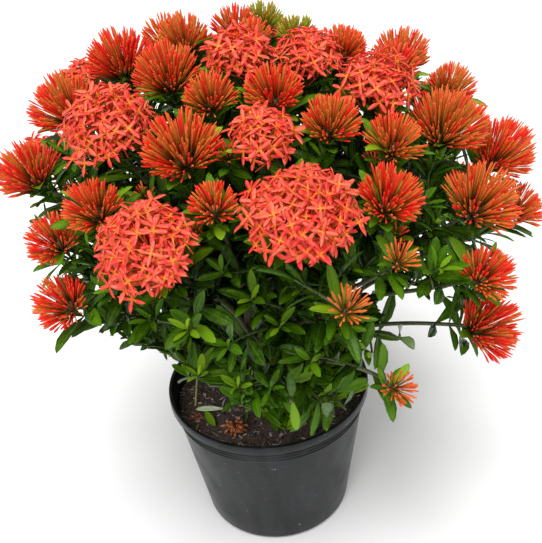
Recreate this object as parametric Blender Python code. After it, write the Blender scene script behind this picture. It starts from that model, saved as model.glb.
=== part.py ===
"""A dwarf ixora in full flower, rooted in a black plastic nursery pot.

Three leafy canes stand in plain holes in the soil. Each forks to its own heads of flowers: tight
heads of buds, and open heads of four-petalled florets. Metres, +Z up, with the origin at the
centre of the pot's underside. The photograph looks along +Y.
"""

import math
import random

import bmesh
import bpy
from mathutils import Matrix, Quaternion, Vector
from mathutils.bvhtree import BVHTree

GAP = 0.0003
UP = Vector((0, 0, 1))
MM = 0.001

# Pot
POT_HEIGHT = 0.152
POT_BASE_RADIUS = 0.0735
POT_RIM_RADIUS = 0.1000
POT_WALL = 0.0014
POT_LIP = 0.0022
POT_LIP_DEPTH = 0.009
POT_HEEL = 0.007
POT_STEP = 0.0009
POT_STEP_DEPTHS = (0.014, 0.018, 0.022)
POT_SEGMENTS = 30
DRAIN_COUNT = 6
DRAIN_RADIUS = 0.0055
DRAIN_RING = 0.055

# Soil
SOIL_LEVEL = 0.130
SOIL_CROWN = 0.006
SOIL_ROUGH = 0.0016
SOIL_RINGS = (0.020, 0.044, 0.066, 0.082)
SOIL_SEGMENTS = 18
SOIL_GAP = 0.0009

# Crown: the dome that the heads sit on, leaning a little to the right of the photograph
CROWN_CENTRE = Vector((0.018, 0.015, 0.335))
CROWN_RADII = Vector((0.222, 0.222, 0.158))
CROWN_TILT = Matrix.Rotation(math.radians(7), 3, "Y")
STEM_SPRING = Vector((0.0, 0.0, 0.10))

# The photograph's viewpoint, from which its sight lines are drawn
PHOTO_SIZE = (542, 543)
EYE = Vector((0.0, -0.7315, 0.756))
FOCAL_PX = 938
EYE_PITCH, EYE_YAW, EYE_ROLL = (math.radians(a) for a in (33.1, 1.0, -5.15))

# Heads that the photograph shows: kind, pixels across, pixels down, radius in mm
SEEN_HEADS = (
    ("bud", 151, 18, 23), ("bud", 131, 58, 32), ("bud", 176, 43, 26), ("bud", 212, 38, 22),
    ("bud", 242, 44, 20), ("bud", 70, 107, 33), ("bud", 36, 158, 30), ("open", 92, 76, 22),
    ("open", 122, 150, 37), ("bud", 186, 80, 29), ("bud", 205, 136, 31), ("open", 262, 128, 25),
    ("bud", 236, 100, 23), ("green", 262, 22, 21), ("green", 299, 40, 20), ("open", 262, 66, 27),
    ("bud", 276, 92, 25), ("bud", 308, 110, 25), ("bud", 345, 122, 24), ("open", 330, 76, 27),
    ("open", 372, 92, 30), ("bud", 376, 60, 23), ("bud", 340, 52, 22), ("bud", 412, 59, 27),
    ("bud", 444, 80, 24), ("bud", 430, 124, 34), ("bud", 500, 156, 33), ("bud", 477, 193, 32),
    ("bud", 523, 206, 23), ("bud", 488, 262, 24), ("bud", 489, 329, 31), ("few", 397, 388, 18),
    ("few", 347, 309, 19), ("few", 392, 245, 17), ("bud", 360, 210, 27), ("open", 297, 203, 42),
    ("bud", 230, 198, 20), ("bud", 88, 212, 25), ("bud", 62, 243, 24), ("bud", 60, 293, 25),
    ("open", 152, 240, 37),
)
# Heads behind, which the photograph hides: kind, bearing and rise on the crown in degrees, radius in
# mm, and how far out towards the crown's surface
HIDDEN_HEADS = (
    ("bud", 60, 47, 25, 0.95), ("open", 92, 50, 26, 0.95), ("bud", 124, 46, 26, 0.95),
    ("bud", 33, 22, 30, 1.0), ("bud", 59, 21, 29, 1.0), ("open", 85, 19, 31, 1.0),
    ("bud", 111, 22, 30, 1.0), ("bud", 136, 20, 29, 1.0), ("open", 160, 2, 29, 1.0),
    ("bud", 26, -8, 28, 1.0), ("bud", 70, -13, 29, 1.0), ("bud", 112, -12, 29, 1.0),
)
SETTLE_ROUNDS = 60
HEAD_SPACING = 0.0008
STALK = 0.012
SETTLE_SHARE = 0.35
OUTWARD_PULL = 0.8
UPWARD_PULL = 0.25

# What a head is made of: facets of its core, how far down they reach in degrees, core and head radii
HEAD_FACETS = {"bud": 17, "green": 13, "few": 9, "open": 9}
HEAD_SPREAD = {"bud": 98, "green": 90, "few": 80, "open": 92}
BUD_CORE = 0.27
OPEN_CORE = 0.33
BUD_REACH = (0.88, 0.995)
OPEN_REACH = (0.93, 0.965)
PETAL_LENGTH = 0.0145
PETAL_ROOT = 0.36
PETAL_DROOP = 0.06
THROAT_DEPTH = 0.0012
NECK_RADIUS = 0.0013
NECK_DEPTH = 0.005

# Canes, shoots and leaves
CANE_COUNT = 3
CANE_RING = 0.040
CANE_RADIUS = 0.0046
TWIG_RADIUS = 0.0017
CANE_DEPTH = 0.030
CANE_RISE = 0.006
SHOOTS_PER_CANE = 5
SHOOT_SPREAD = 112
SHOOT_REACH = (0.112, 0.142)
SHOOT_HEIGHT = (0.180, 0.240)
LEAF_LENGTH = 0.043
LEAF_WIDTH = 0.0180
LEAF_THICK = 0.0012
LEAF_STATIONS = ((0.33, 0.94), (0.69, 0.84))
LEAF_DROOP = 0.20
LEAF_FOLD = 0.22
LEAF_SPOTS = ((0, 0), (0.14, 0), (0.28, 0), (0.35, 0.9), (0.35, -0.9), (0.5, 0), (0.52, 1), (0.52, -1),
              (0.7, 0.85), (0.7, -0.85), (0.72, 0), (0.87, 0.3), (1, 0))
LEAF_SIZES = (0.85, 1.12)
LEAF_LEANS = (58, 74)
NODE_HALF = 0.002
PAIR_STEPS = (0.011, 0.035)
SHOOT_STEPS = (0.004, 0.024, 0.046)
TRUNK_SIDES = 6
TWIG_SIDES = 4

# What has dropped on the soil
REST_GAP = 0.0004
FALLEN_LEAF_PIXEL = (207, 409)
FALLEN_LEAF_TURN = 152
FALLEN_BLOOM_PIXEL = (236, 431)
FALLEN_BLOOM_RADIUS = 0.011
SEED = 11

COLOURS = {
    "pot": ((0.018, 0.019, 0.021), 0.42), "soil": ((0.035, 0.022, 0.016), 0.95),
    "cane": ((0.055, 0.165, 0.018), 0.35), "bud": ((0.55, 0.060, 0.020), 0.5),
    "green": ((0.34, 0.26, 0.030), 0.5), "few": ((0.60, 0.130, 0.040), 0.5),
    "open": ((0.90, 0.115, 0.070), 0.5), "fallen_leaf": ((0.36, 0.38, 0.16), 0.5),
    "fallen_bloom": ((0.33, 0.11, 0.035), 0.8),
}


def clear_scene():
    for obj in list(bpy.data.objects):
        bpy.data.objects.remove(obj)


def material(name):
    made = bpy.data.materials.get(name)
    if made is None:
        made = bpy.data.materials.new(name)
        made.use_nodes = True
        colour, roughness = COLOURS[name]
        shader = made.node_tree.nodes["Principled BSDF"]
        shader.inputs["Base Color"].default_value = (*colour, 1)
        shader.inputs["Roughness"].default_value = roughness
    return made


def add_object(name, bm, slot, smooth=False):
    bmesh.ops.recalc_face_normals(bm, faces=bm.faces)
    mesh = bpy.data.meshes.new(name)
    bm.to_mesh(mesh)
    bm.free()
    if smooth:
        mesh.shade_smooth()
        mesh.set_sharp_from_angle(angle=math.radians(35))
    mesh.materials.append(material(slot))
    obj = bpy.data.objects.new(name, mesh)
    bpy.context.scene.collection.objects.link(obj)
    return obj


# Where everything grows

def sight_line(across, down):
    """The direction in which the photograph sees one of its pixels."""
    look = Vector((math.sin(EYE_YAW) * math.cos(EYE_PITCH),
                   math.cos(EYE_YAW) * math.cos(EYE_PITCH), -math.sin(EYE_PITCH)))
    level = look.cross(UP).normalized()
    right = Quaternion(look, -EYE_ROLL) @ level
    raised = right.cross(look)
    x = (across - PHOTO_SIZE[0] / 2) / FOCAL_PX
    y = (PHOTO_SIZE[1] / 2 - down) / FOCAL_PX
    return (look + x * right + y * raised).normalized()


def on_crown(unit, out):
    """The point and the outward normal of the crown in a direction of its own frame."""
    local = Vector(out * unit[i] * CROWN_RADII[i] for i in range(3))
    normal = Vector(unit[i] / CROWN_RADII[i] for i in range(3)).normalized()
    return CROWN_TILT @ local + CROWN_CENTRE, CROWN_TILT @ normal


def unit_of(point):
    local = CROWN_TILT.transposed() @ (point - CROWN_CENTRE)
    return Vector(local[i] / CROWN_RADII[i] for i in range(3)).normalized()


def seen_unit(across, down):
    """Where a sight line meets the crown, or passes nearest to it, as a direction in its frame."""
    ray = CROWN_TILT.transposed() @ sight_line(across, down)
    eye = CROWN_TILT.transposed() @ (EYE - CROWN_CENTRE)
    ray = Vector(ray[i] / CROWN_RADII[i] for i in range(3))
    eye = Vector(eye[i] / CROWN_RADII[i] for i in range(3))
    square, half = ray.dot(ray), ray.dot(eye)
    room = half * half - square * (eye.dot(eye) - 1)
    along = (-half - math.sqrt(max(room, 0))) / square
    return (eye + along * ray).normalized()


def place_heads():
    """Every head as (kind, centre, axis, radius), eased apart until their tips clear each other."""
    heads = []
    for kind, across, down, radius in SEEN_HEADS:
        heads.append([kind, seen_unit(across, down), radius * MM, 1.0])
    for kind, bearing, rise, radius, out in HIDDEN_HEADS:
        turn, lift = math.radians(bearing), math.radians(rise)
        unit = Vector((math.cos(turn) * math.cos(lift), math.sin(turn) * math.cos(lift), math.sin(lift)))
        heads.append([kind, unit, radius * MM, out])
    for _ in range(SETTLE_ROUNDS):
        points = [on_crown(unit, out)[0] for _, unit, _, out in heads]
        pushed = [point.copy() for point in points]
        for i, first in enumerate(points):
            for j in range(i + 1, len(points)):
                apart = first - points[j]
                short = heads[i][2] + heads[j][2] + HEAD_SPACING - apart.length
                if short > 0:
                    step = apart.normalized() * short * SETTLE_SHARE
                    pushed[i] += step
                    pushed[j] -= step
        for head, point in zip(heads, pushed):
            head[1] = unit_of(point)
    points = [on_crown(unit, out)[0] for _, unit, _, out in heads]
    placed = []
    for i, (kind, unit, radius, out) in enumerate(heads):
        point, normal = on_crown(unit, out)
        outward = (point - STEM_SPRING).normalized()
        room = min((point - points[j]).length * radius / (radius + heads[j][2])
                   for j in range(len(heads)) if j != i)
        axis = (normal + OUTWARD_PULL * outward + UPWARD_PULL * UP).normalized()
        placed.append((kind, point, axis, min(radius, room - HEAD_SPACING / 2)))
    return placed


def bezier(arch, t):
    a, b, c, d = arch
    s = 1 - t
    return s * s * s * a + 3 * s * s * t * b + 3 * s * t * t * c + t * t * t * d


def bezier_way(arch, t):
    a, b, c, d = arch
    s = 1 - t
    return (s * s * (b - a) + 2 * s * t * (c - b) + t * t * (d - c)).normalized()


def back_from_tip(arch, distances):
    """The places along a curve, in shares of its parameter, at distances back from its tip."""
    count = 60
    points = [bezier(arch, i / count) for i in range(count, -1, -1)]
    found, run, i = [], 0.0, 0
    for distance in distances:
        while i < count and run + (points[i + 1] - points[i]).length < distance:
            run += (points[i + 1] - points[i]).length
            i += 1
        if i == count:
            break
        found.append(1 - (i + (distance - run) / (points[i + 1] - points[i]).length) / count)
    return found


def curve_length(arch):
    points = [bezier(arch, i / 24) for i in range(25)]
    return sum((b - a).length for a, b in zip(points, points[1:]))


def along_curve(arch, step):
    count = max(2, round(curve_length(arch) / step))
    return [bezier(arch, i / count) for i in range(count + 1)]


def seat_of(head):
    return head[1] - head[2] * STALK


def group_by_bearing(heads):
    """The heads shared out round the pot, one run of bearings for each cane."""
    order = sorted(range(len(heads)), key=lambda i: math.atan2(seat_of(heads[i]).y, seat_of(heads[i]).x))
    share = len(order) / CANE_COUNT
    return [order[round(k * share):round((k + 1) * share)] for k in range(CANE_COUNT)]


def stem_is_clear(arch, own_head, cane, heads, stems):
    for point in along_curve(arch, 0.005):
        if any(i != own_head and inside_head(point, head, 0.004) for i, head in enumerate(heads)):
            return False
        if any(owner != cane and (point - spot).length < 0.007 for owner, spot in stems):
            return False
    return True


def twig_choices(trunk, place, seat, axis):
    """Arches for a twig from near a place on the trunk to a seat, the plainest first."""
    for lift in (0.45, 0.2, 0.7):
        for handle in (0.35, 0.5, 0.22):
            for shift in (0, -0.06, 0.06, -0.12, 0.12, -0.2):
                start = bezier(trunk, min(0.85, max(0.04, place + shift)))
                straight = seat - start
                first = start + (UP * lift + straight.normalized() * (1 - lift)) * straight.length * 0.35
                yield start, first, seat - axis * straight.length * handle, seat


def plan_canes(heads):
    """Each cane as its foot, its trunk's arch and its twigs, each an (arch, head number or None)."""
    canes, stems = [], []
    for k, members in enumerate(group_by_bearing(heads)):
        seats = {i: seat_of(heads[i]) for i in members}
        middle = sum(seats.values(), Vector()) / len(seats)
        bearing = math.atan2(middle.y, middle.x)
        out = Vector((math.cos(bearing), math.sin(bearing), 0))
        foot = out * CANE_RING + UP * (SOIL_LEVEL - CANE_DEPTH + SOIL_CROWN)
        sprout = foot + UP * (CANE_DEPTH + CANE_RISE)
        lead = min(members, key=lambda i: (seats[i] - middle - UP * 0.1).length)
        trunk = (sprout, sprout + UP * 0.07, seats[lead] - heads[lead][2] * 0.10, seats[lead])
        stems += [(k, point) for point in along_curve(trunk, 0.006)]
        twigs = [(trunk, lead)]
        others = sorted((i for i in members if i != lead), key=lambda i: seats[i].z)
        for n, i in enumerate(others):
            place = 0.16 + 0.52 * (n + 0.5) / len(others)
            choices = list(twig_choices(trunk, place, seats[i], heads[i][2]))
            arch = next((c for c in choices if stem_is_clear(c, i, k, heads, stems)), choices[0])
            stems += [(k, point) for point in along_curve(arch, 0.006)]
            twigs.append((arch, i))
        for n in range(SHOOTS_PER_CANE):
            turn = bearing + math.radians(SHOOT_SPREAD / SHOOTS_PER_CANE) * (n - (SHOOTS_PER_CANE - 1) / 2)
            away = Vector((math.cos(turn), math.sin(turn), 0))
            end = away * SHOOT_REACH[n % 2] + UP * SHOOT_HEIGHT[n % 2]
            for lift in (0, 0.015, 0.03, -0.015):
                tip = end + UP * lift
                start = bezier(trunk, 0.05 + 0.05 * n)
                arch = (start, start + UP * 0.035 + away * 0.01, tip - away * 0.035 + UP * 0.012, tip)
                if stem_is_clear(arch, None, k, heads, stems):
                    stems += [(k, point) for point in along_curve(arch, 0.006)]
                    twigs.append((arch, None))
                    break
        canes.append({"foot": foot, "twigs": twigs})
    return canes, stems


def leaf_frame(point, forward, side, lean, length):
    """Matrix of a leaf whose own +X runs to its tip and whose own +Z is its upper side."""
    along = (forward * math.cos(lean) + side * math.sin(lean)).normalized()
    upper = (forward - along * forward.dot(along)).normalized()
    across = upper.cross(along)
    basis = Matrix((along, across, upper)).transposed().to_4x4()
    return Matrix.Translation(point) @ basis @ Matrix.Scale(length / LEAF_LENGTH, 4)


def blade_point(share, width):
    """A point of the blade's upper side, at a share of its length and of its half width."""
    half_width = LEAF_WIDTH / 2
    rise = LEAF_FOLD * half_width * abs(width) - LEAF_DROOP * LEAF_LENGTH * share * share
    return Vector((share * LEAF_LENGTH, width * half_width, rise))


def leaf_samples(matrix):
    return [matrix @ blade_point(share, width) for share, width in LEAF_SPOTS]


def inside_head(point, head, margin):
    away = point - head[1]
    rise = away.dot(head[2])
    if away.length < head[3] + margin and rise > -margin - 0.10 * head[3]:
        return True
    level = (away - head[2] * rise).length
    return -STALK - margin < rise <= 0 and level < margin + 0.009 * (1 + rise / (STALK + margin))


def in_pot(point):
    radius = math.hypot(point.x, point.y)
    over_soil = radius < 0.092 and point.z < SOIL_LEVEL + SOIL_CROWN + 0.005
    at_rim = 0.084 < radius < 0.109 and 0.11 < point.z < POT_HEIGHT + 0.004
    beside = radius < 0.104 and point.z < 0.12
    return over_soil or at_rim or beside


def leaf_is_clear(samples, cane, heads, others, stems):
    """Whether a leaf clears the pot, the heads, every other leaf, and the stems but its own."""
    root = samples[0]
    for point in samples[1:]:
        if in_pot(point) or any(inside_head(point, head, 0.003) for head in heads):
            return False
    for owner, spot in stems:
        if (spot - root).length > 0.065 or owner == cane and (spot - root).length < 0.017:
            continue
        if any((point - spot).length < 0.0062 for point in samples[2:]):
            return False
    for leaf in others:
        if (leaf[5] - samples[5]).length > 0.075:
            continue
        near = 4 if (leaf[0] - root).length < 0.028 else 1
        if any((point - spot).length < 0.0072 for point in samples[near:] for spot in leaf[near:]):
            return False
    return True


def twig_sides(arch, places, twist, sides):
    """Frames at places along a curve, tip first: (point, forward, the way to the first corner)."""
    forward = bezier_way(arch, 1)
    side = Quaternion(forward, twist) @ forward.orthogonal().normalized()
    frames = []
    for place in places:
        ahead = bezier_way(arch, place)
        side = forward.rotation_difference(ahead) @ side
        forward = ahead
        frames.append((bezier(arch, place), forward, side))
    return frames


def plan_leaves(heads, canes, stems):
    """Gives every twig its twist and its leaves, {(pair, side): matrix}, in crossing pairs."""
    draw = random.Random(SEED)
    taken = []
    for k, cane in enumerate(canes):
        cane["dressed"] = []
        for number, (arch, head) in enumerate(cane["twigs"]):
            steps = SHOOT_STEPS if head is None else PAIR_STEPS[:1 if heads[head][3] < 0.023 else 2]
            steps = [step for step in steps if step < 0.8 * curve_length(arch) - 0.008]
            sides = TRUNK_SIDES if number == 0 else TWIG_SIDES
            drawn = {(n, half): (draw.uniform(*LEAF_SIZES), math.radians(draw.uniform(*LEAF_LEANS)))
                     for n in range(len(steps)) for half in (0, 1)}
            best, best_twist = {}, 0.0
            for turn in range(6):
                twist = math.radians(15 * turn)
                leaves = {}
                for n, frame in enumerate(twig_sides(arch, back_from_tip(arch, steps), twist, sides)):
                    point, forward, side = frame
                    for half in (0, 1):
                        number_of_side = (n + half * sides // 2) % sides
                        face = Quaternion(forward, 2 * math.pi * (number_of_side + 0.5) / sides) @ side
                        size, lean = drawn[n, half]
                        for shrink in (1, 0.8):
                            matrix = leaf_frame(point, forward, face, lean, LEAF_LENGTH * size * shrink)
                            samples = leaf_samples(matrix)
                            if leaf_is_clear(samples, k, heads, taken, stems):
                                leaves[n, number_of_side] = matrix
                                break
                if len(leaves) > len(best):
                    best, best_twist = leaves, twist
                if len(best) == 2 * len(steps):
                    break
            taken += [leaf_samples(matrix) for matrix in best.values()]
            cane["dressed"].append((arch, steps, best_twist, sides, best))


# Pot and soil

def outer(height):
    return POT_BASE_RADIUS + (POT_RIM_RADIUS - POT_LIP - POT_BASE_RADIUS) * height / POT_HEIGHT


def inner_radius(height):
    return outer(height) - POT_WALL


def ring_of(bm, radius, height, segments):
    turns = [2 * math.pi * i / segments for i in range(segments)]
    return [bm.verts.new((radius * math.cos(turn), radius * math.sin(turn), height)) for turn in turns]


def bridge(bm, rings):
    """Joins rings of equal count with quads and closes both ends with whole faces."""
    for lower, upper in zip(rings, rings[1:]):
        for i in range(len(lower)):
            j = (i + 1) % len(lower)
            bm.faces.new((lower[i], lower[j], upper[j], upper[i]))
    bm.faces.new(rings[0][::-1])
    bm.faces.new(rings[-1])


def cutter(name, x, y, low, high, radius, sides=8):
    bm = bmesh.new()
    bmesh.ops.create_cone(bm, cap_ends=True, segments=sides, radius1=radius, radius2=radius, depth=high - low)
    bmesh.ops.translate(bm, verts=bm.verts, vec=(x, y, (low + high) / 2))
    obj = add_object(name, bm, "pot")
    obj.hide_render = True
    obj.display_type = "WIRE"
    return obj


def cut(obj, cutters):
    for tool in cutters:
        modifier = obj.modifiers.new(tool.name, "BOOLEAN")
        modifier.operation = "DIFFERENCE"
        modifier.object = tool


def make_pot():
    rim = POT_HEIGHT - POT_LIP_DEPTH
    profile = [(POT_BASE_RADIUS - POT_HEEL, 0), (outer(POT_HEEL) - 0.0016, 0.0022)]
    profile.append((outer(POT_HEEL), POT_HEEL))
    for depth in reversed(POT_STEP_DEPTHS):
        z = POT_HEIGHT - depth
        profile += [(outer(z), z - 0.0014), (outer(z) + POT_STEP, z)]
    profile += [(outer(rim), rim), (POT_RIM_RADIUS, rim + 0.001), (POT_RIM_RADIUS, POT_HEIGHT - 0.001),
                (POT_RIM_RADIUS - 0.001, POT_HEIGHT), (inner_radius(POT_HEIGHT), POT_HEIGHT)]
    profile += [(inner_radius(POT_WALL + 0.004), POT_WALL + 0.004), (POT_BASE_RADIUS - POT_HEEL, POT_WALL)]
    bm = bmesh.new()
    rings = [ring_of(bm, radius, height, POT_SEGMENTS) for radius, height in profile]
    bridge(bm, rings)
    pot = add_object("pot", bm, "pot", smooth=True)
    drains = []
    for i in range(DRAIN_COUNT):
        turn = 2 * math.pi * (i + 0.5) / DRAIN_COUNT
        x, y = DRAIN_RING * math.cos(turn), DRAIN_RING * math.sin(turn)
        drains.append(cutter(f"drain_cutter_{i + 1}", x, y, -0.002, POT_WALL + 0.002, DRAIN_RADIUS))
    cut(pot, drains)


def make_soil(canes):
    """Filled to under the rim, a little crowned and uneven, with a plain hole for each cane."""
    draw = random.Random(SEED)
    floor = POT_WALL + GAP
    corner = POT_WALL + 0.0045
    bm = bmesh.new()
    rings = [ring_of(bm, POT_BASE_RADIUS - POT_HEEL - SOIL_GAP, floor, SOIL_SEGMENTS),
             ring_of(bm, inner_radius(corner) - SOIL_GAP, corner, SOIL_SEGMENTS),
             ring_of(bm, inner_radius(SOIL_LEVEL) - SOIL_GAP, SOIL_LEVEL, SOIL_SEGMENTS)]
    for radius in reversed(SOIL_RINGS):
        crowned = SOIL_LEVEL + SOIL_CROWN * (1 - (radius / POT_RIM_RADIUS) ** 2)
        ring = ring_of(bm, radius, crowned, SOIL_SEGMENTS)
        for corner in ring:
            corner.co.z += draw.uniform(-SOIL_ROUGH, SOIL_ROUGH)
        rings.append(ring)
    bridge(bm, rings)
    ground = BVHTree.FromBMesh(bm)
    soil = add_object("soil", bm, "soil")
    holes = []
    for k, cane in enumerate(canes):
        foot = cane["foot"]
        holes.append(cutter(f"cane_hole_{k + 1}", foot.x, foot.y, foot.z - GAP, foot.z + 0.05,
                            (CANE_RADIUS + GAP) / math.cos(math.pi / 8)))
    cut(soil, holes)
    return ground


# Canes

def twig_mesh(bm, arch, steps, twist, sides, leaves, radii, foot=None):
    """A few-sided tube along a curve, with each leaf drawn out of one side of its segment."""
    length = curve_length(arch)
    backs = [0.0]
    for step in steps:
        backs += [step - NODE_HALF, step + NODE_HALF]
    spare = length - backs[-1]
    extra = max(1, round(spare / 0.045))
    backs += [backs[-1] + spare * (i + 1) / extra for i in range(extra - 1)]
    frames = twig_sides(arch, back_from_tip(arch, backs) + [0.0], twist, sides)
    if foot is not None:
        frames.append((foot, UP, frames[-1][2]))
    rings = []
    for i, (point, forward, side) in enumerate(frames):
        share = min(1, i / (len(frames) - 2))
        radius = radii[0] + (radii[1] - radii[0]) * share
        rings.append([bm.verts.new(point + (Quaternion(forward, 2 * math.pi * s / sides) @ side) * radius)
                      for s in range(sides)])
    for i, (upper, lower) in enumerate(zip(rings, rings[1:])):
        for s in range(sides):
            t = (s + 1) % sides
            leaf = leaves.get(((i - 1) // 2, s)) if i % 2 == 1 else None
            if leaf is None:
                bm.faces.new((upper[s], upper[t], lower[t], lower[s]))
            else:
                draw_leaf(bm, (upper[t], upper[s], lower[s], lower[t]), leaf)
    bm.faces.new(rings[0])
    bm.faces.new(rings[-1][::-1])


def draw_leaf(bm, root, matrix):
    """A folded, arched blade with thin edges, drawn out of the four corners of one side."""
    upper_left, upper_right, lower_right, lower_left = root
    stations = []
    for share, width in LEAF_STATIONS:
        ring = [blade_point(share, width), blade_point(share, 0), blade_point(share, -width)]
        ring.append(ring[1] - UP * LEAF_THICK)
        stations.append([bm.verts.new(matrix @ point) for point in ring])
    tip = bm.verts.new(matrix @ blade_point(1, 0))
    left, ridge, right, keel = stations[0]
    for face in ((upper_left, ridge, left), (upper_left, upper_right, ridge),
                 (upper_right, right, ridge), (upper_right, lower_right, right),
                 (lower_right, keel, right), (lower_right, lower_left, keel),
                 (lower_left, left, keel), (lower_left, upper_left, left)):
        bm.faces.new(face)
    for near, far in zip(stations, stations[1:]):
        for i in range(4):
            j = (i + 1) % 4
            bm.faces.new((near[i], near[j], far[j]))
            bm.faces.new((near[i], far[j], far[i]))
    for i in range(4):
        bm.faces.new((stations[-1][i], stations[-1][(i + 1) % 4], tip))


def make_cane(number, cane):
    """A cane with its twigs, shoots and leaves, all one body."""
    name = f"cane_{number + 1}"
    made = []
    for i, (arch, steps, twist, sides, leaves) in enumerate(cane["dressed"]):
        bm = bmesh.new()
        radii = (TWIG_RADIUS, CANE_RADIUS) if i == 0 else (TWIG_RADIUS, TWIG_RADIUS * 1.35)
        twig_mesh(bm, arch, steps, twist, sides, leaves, radii, cane["foot"] if i == 0 else None)
        made.append(add_object(name if i == 0 else f"{name}_twig_{i}", bm, "cane"))
    join(made[0], made[1:])


def join(body, parts):
    """One union of a body with its parts, applied, with the parts then removed."""
    group = bpy.data.collections.new(body.name + "_parts")
    bpy.context.scene.collection.children.link(group)
    for part in parts:
        bpy.context.scene.collection.objects.unlink(part)
        group.objects.link(part)
    union = body.modifiers.new("join", "BOOLEAN")
    union.operation = "UNION"
    union.operand_type = "COLLECTION"
    union.collection = group
    union.solver = "MANIFOLD"
    bpy.context.view_layer.update()
    joined = bpy.data.meshes.new_from_object(body.evaluated_get(bpy.context.evaluated_depsgraph_get()))
    body.modifiers.clear()
    body.data = joined
    for part in parts:
        bpy.data.objects.remove(part)
    bpy.data.collections.remove(group)


# Heads

def cap_directions(count, spread):
    """Directions spread evenly over a cap, from its pole down to the spread angle in degrees."""
    low = math.cos(math.radians(spread))
    golden = math.pi * (3 - math.sqrt(5))
    found = []
    for i in range(count):
        z = 1 - (1 - low) * i / (count - 1)
        level = math.sqrt(max(0, 1 - z * z))
        found.append(Vector((level * math.cos(golden * i), level * math.sin(golden * i), z)))
    return found


def head_core(kind, core):
    """The small core on its stalk, as a closed hull with a flat seat."""
    bm = bmesh.new()
    for way in cap_directions(HEAD_FACETS[kind], HEAD_SPREAD[kind]):
        bm.verts.new(way * core)
    for i in range(4):
        turn = math.pi / 4 + math.pi / 2 * i
        bm.verts.new((TWIG_RADIUS * math.cos(turn), TWIG_RADIUS * math.sin(turn), GAP - STALK))
    bmesh.ops.convex_hull(bm, input=bm.verts)
    loose = [v for v in bm.verts if not v.link_faces]
    bmesh.ops.delete(bm, geom=loose, context="VERTS")
    bmesh.ops.triangulate(bm, faces=bm.faces)
    bmesh.ops.recalc_face_normals(bm, faces=bm.faces)
    return bm


def crown_faces(bm, spread):
    low = math.cos(math.radians(spread))
    return [f for f in bm.faces if f.calc_center_median().normalized().z > low]


def bud_mesh(kind, radius, draw):
    """A tight head: every facet of the core is drawn out to the tip of a bud."""
    bm = head_core(kind, BUD_CORE * radius)
    for face in crown_faces(bm, HEAD_SPREAD[kind]):
        way = face.calc_center_median().normalized()
        tip = bm.verts.new(way * radius * draw.uniform(*BUD_REACH))
        corners = list(face.verts)
        bm.faces.remove(face)
        for a, b in zip(corners, corners[1:] + corners[:1]):
            bm.faces.new((a, b, tip))
    return bm


def open_mesh(kind, radius, draw):
    """An open head: a slim tube rises from every facet and spreads into four petals."""
    bm = head_core(kind, OPEN_CORE * radius)
    faces = crown_faces(bm, HEAD_SPREAD[kind])
    ways = [face.calc_center_median().normalized() for face in faces]
    for face, way in zip(faces, ways):
        nearest = min(way.angle(other) for other in ways if other is not way)
        level = radius * draw.uniform(*OPEN_REACH)
        petal = min(PETAL_LENGTH, 0.49 * level * nearest)
        floret(bm, face, way, level, petal, draw.uniform(0, math.pi / 2))
    return bm


def floret(bm, face, way, level, petal, turn):
    corners = list(face.verts)
    bm.faces.remove(face)
    side = way.orthogonal().normalized()
    neck = []
    for corner in corners:
        level_way = (corner.co - way * corner.co.dot(way)).normalized()
        neck.append(bm.verts.new(way * (level - NECK_DEPTH) + level_way * NECK_RADIUS))
    for i in range(3):
        j = (i + 1) % 3
        bm.faces.new((corners[i], corners[j], neck[j]))
        bm.faces.new((corners[i], neck[j], neck[i]))
    star = []
    for i in range(8):
        reach = petal if i % 2 == 0 else PETAL_ROOT * petal
        droop = PETAL_DROOP * petal if i % 2 == 0 else 0.0
        out = Quaternion(way, turn + math.pi / 4 * i) @ side
        star.append(bm.verts.new(way * (level - droop) + out * reach))
    throat = bm.verts.new(way * (level - THROAT_DEPTH))
    for i in range(8):
        bm.faces.new((star[i], star[(i + 1) % 8], throat))
    stitch(bm, neck, star, way, side)


def stitch(bm, inner, outer, way, side):
    """Fills the band between two rings with triangles, in order of bearing round an axis."""
    across = way.cross(side)

    def bearing(corner):
        return math.atan2(corner.co.dot(across), corner.co.dot(side)) % (2 * math.pi)

    inner, outer = sorted(inner, key=bearing), sorted(outer, key=bearing)
    i = j = 0
    while i < len(inner) or j < len(outer):
        a, b = inner[i % len(inner)], outer[j % len(outer)]
        next_a, next_b = inner[(i + 1) % len(inner)], outer[(j + 1) % len(outer)]
        turn_a = bearing(next_a) + (2 * math.pi if i + 1 >= len(inner) else 0)
        turn_b = bearing(next_b) + (2 * math.pi if j + 1 >= len(outer) else 0)
        if j >= len(outer) or (i < len(inner) and turn_a < turn_b):
            bm.faces.new((a, next_a, b))
            i += 1
        else:
            bm.faces.new((a, next_b, b))
            j += 1


# What has dropped on the soil

def soil_spot(across, down):
    """Where a sight line meets the level of the soil."""
    ray = sight_line(across, down)
    return EYE + ray * ((SOIL_LEVEL + SOIL_CROWN - EYE.z) / ray.z)


def settle(bm, ground):
    """Lowers a mesh until its lowest places lie a gap above the ground."""
    spots = [edge.verts[0].co.lerp(edge.verts[1].co, i / 6) for edge in bm.edges for i in range(7)]
    drop = min(spot.z - ground.ray_cast(spot + UP * 0.1, -UP)[0].z for spot in spots)
    bmesh.ops.translate(bm, verts=bm.verts, vec=UP * (REST_GAP - drop))


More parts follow.
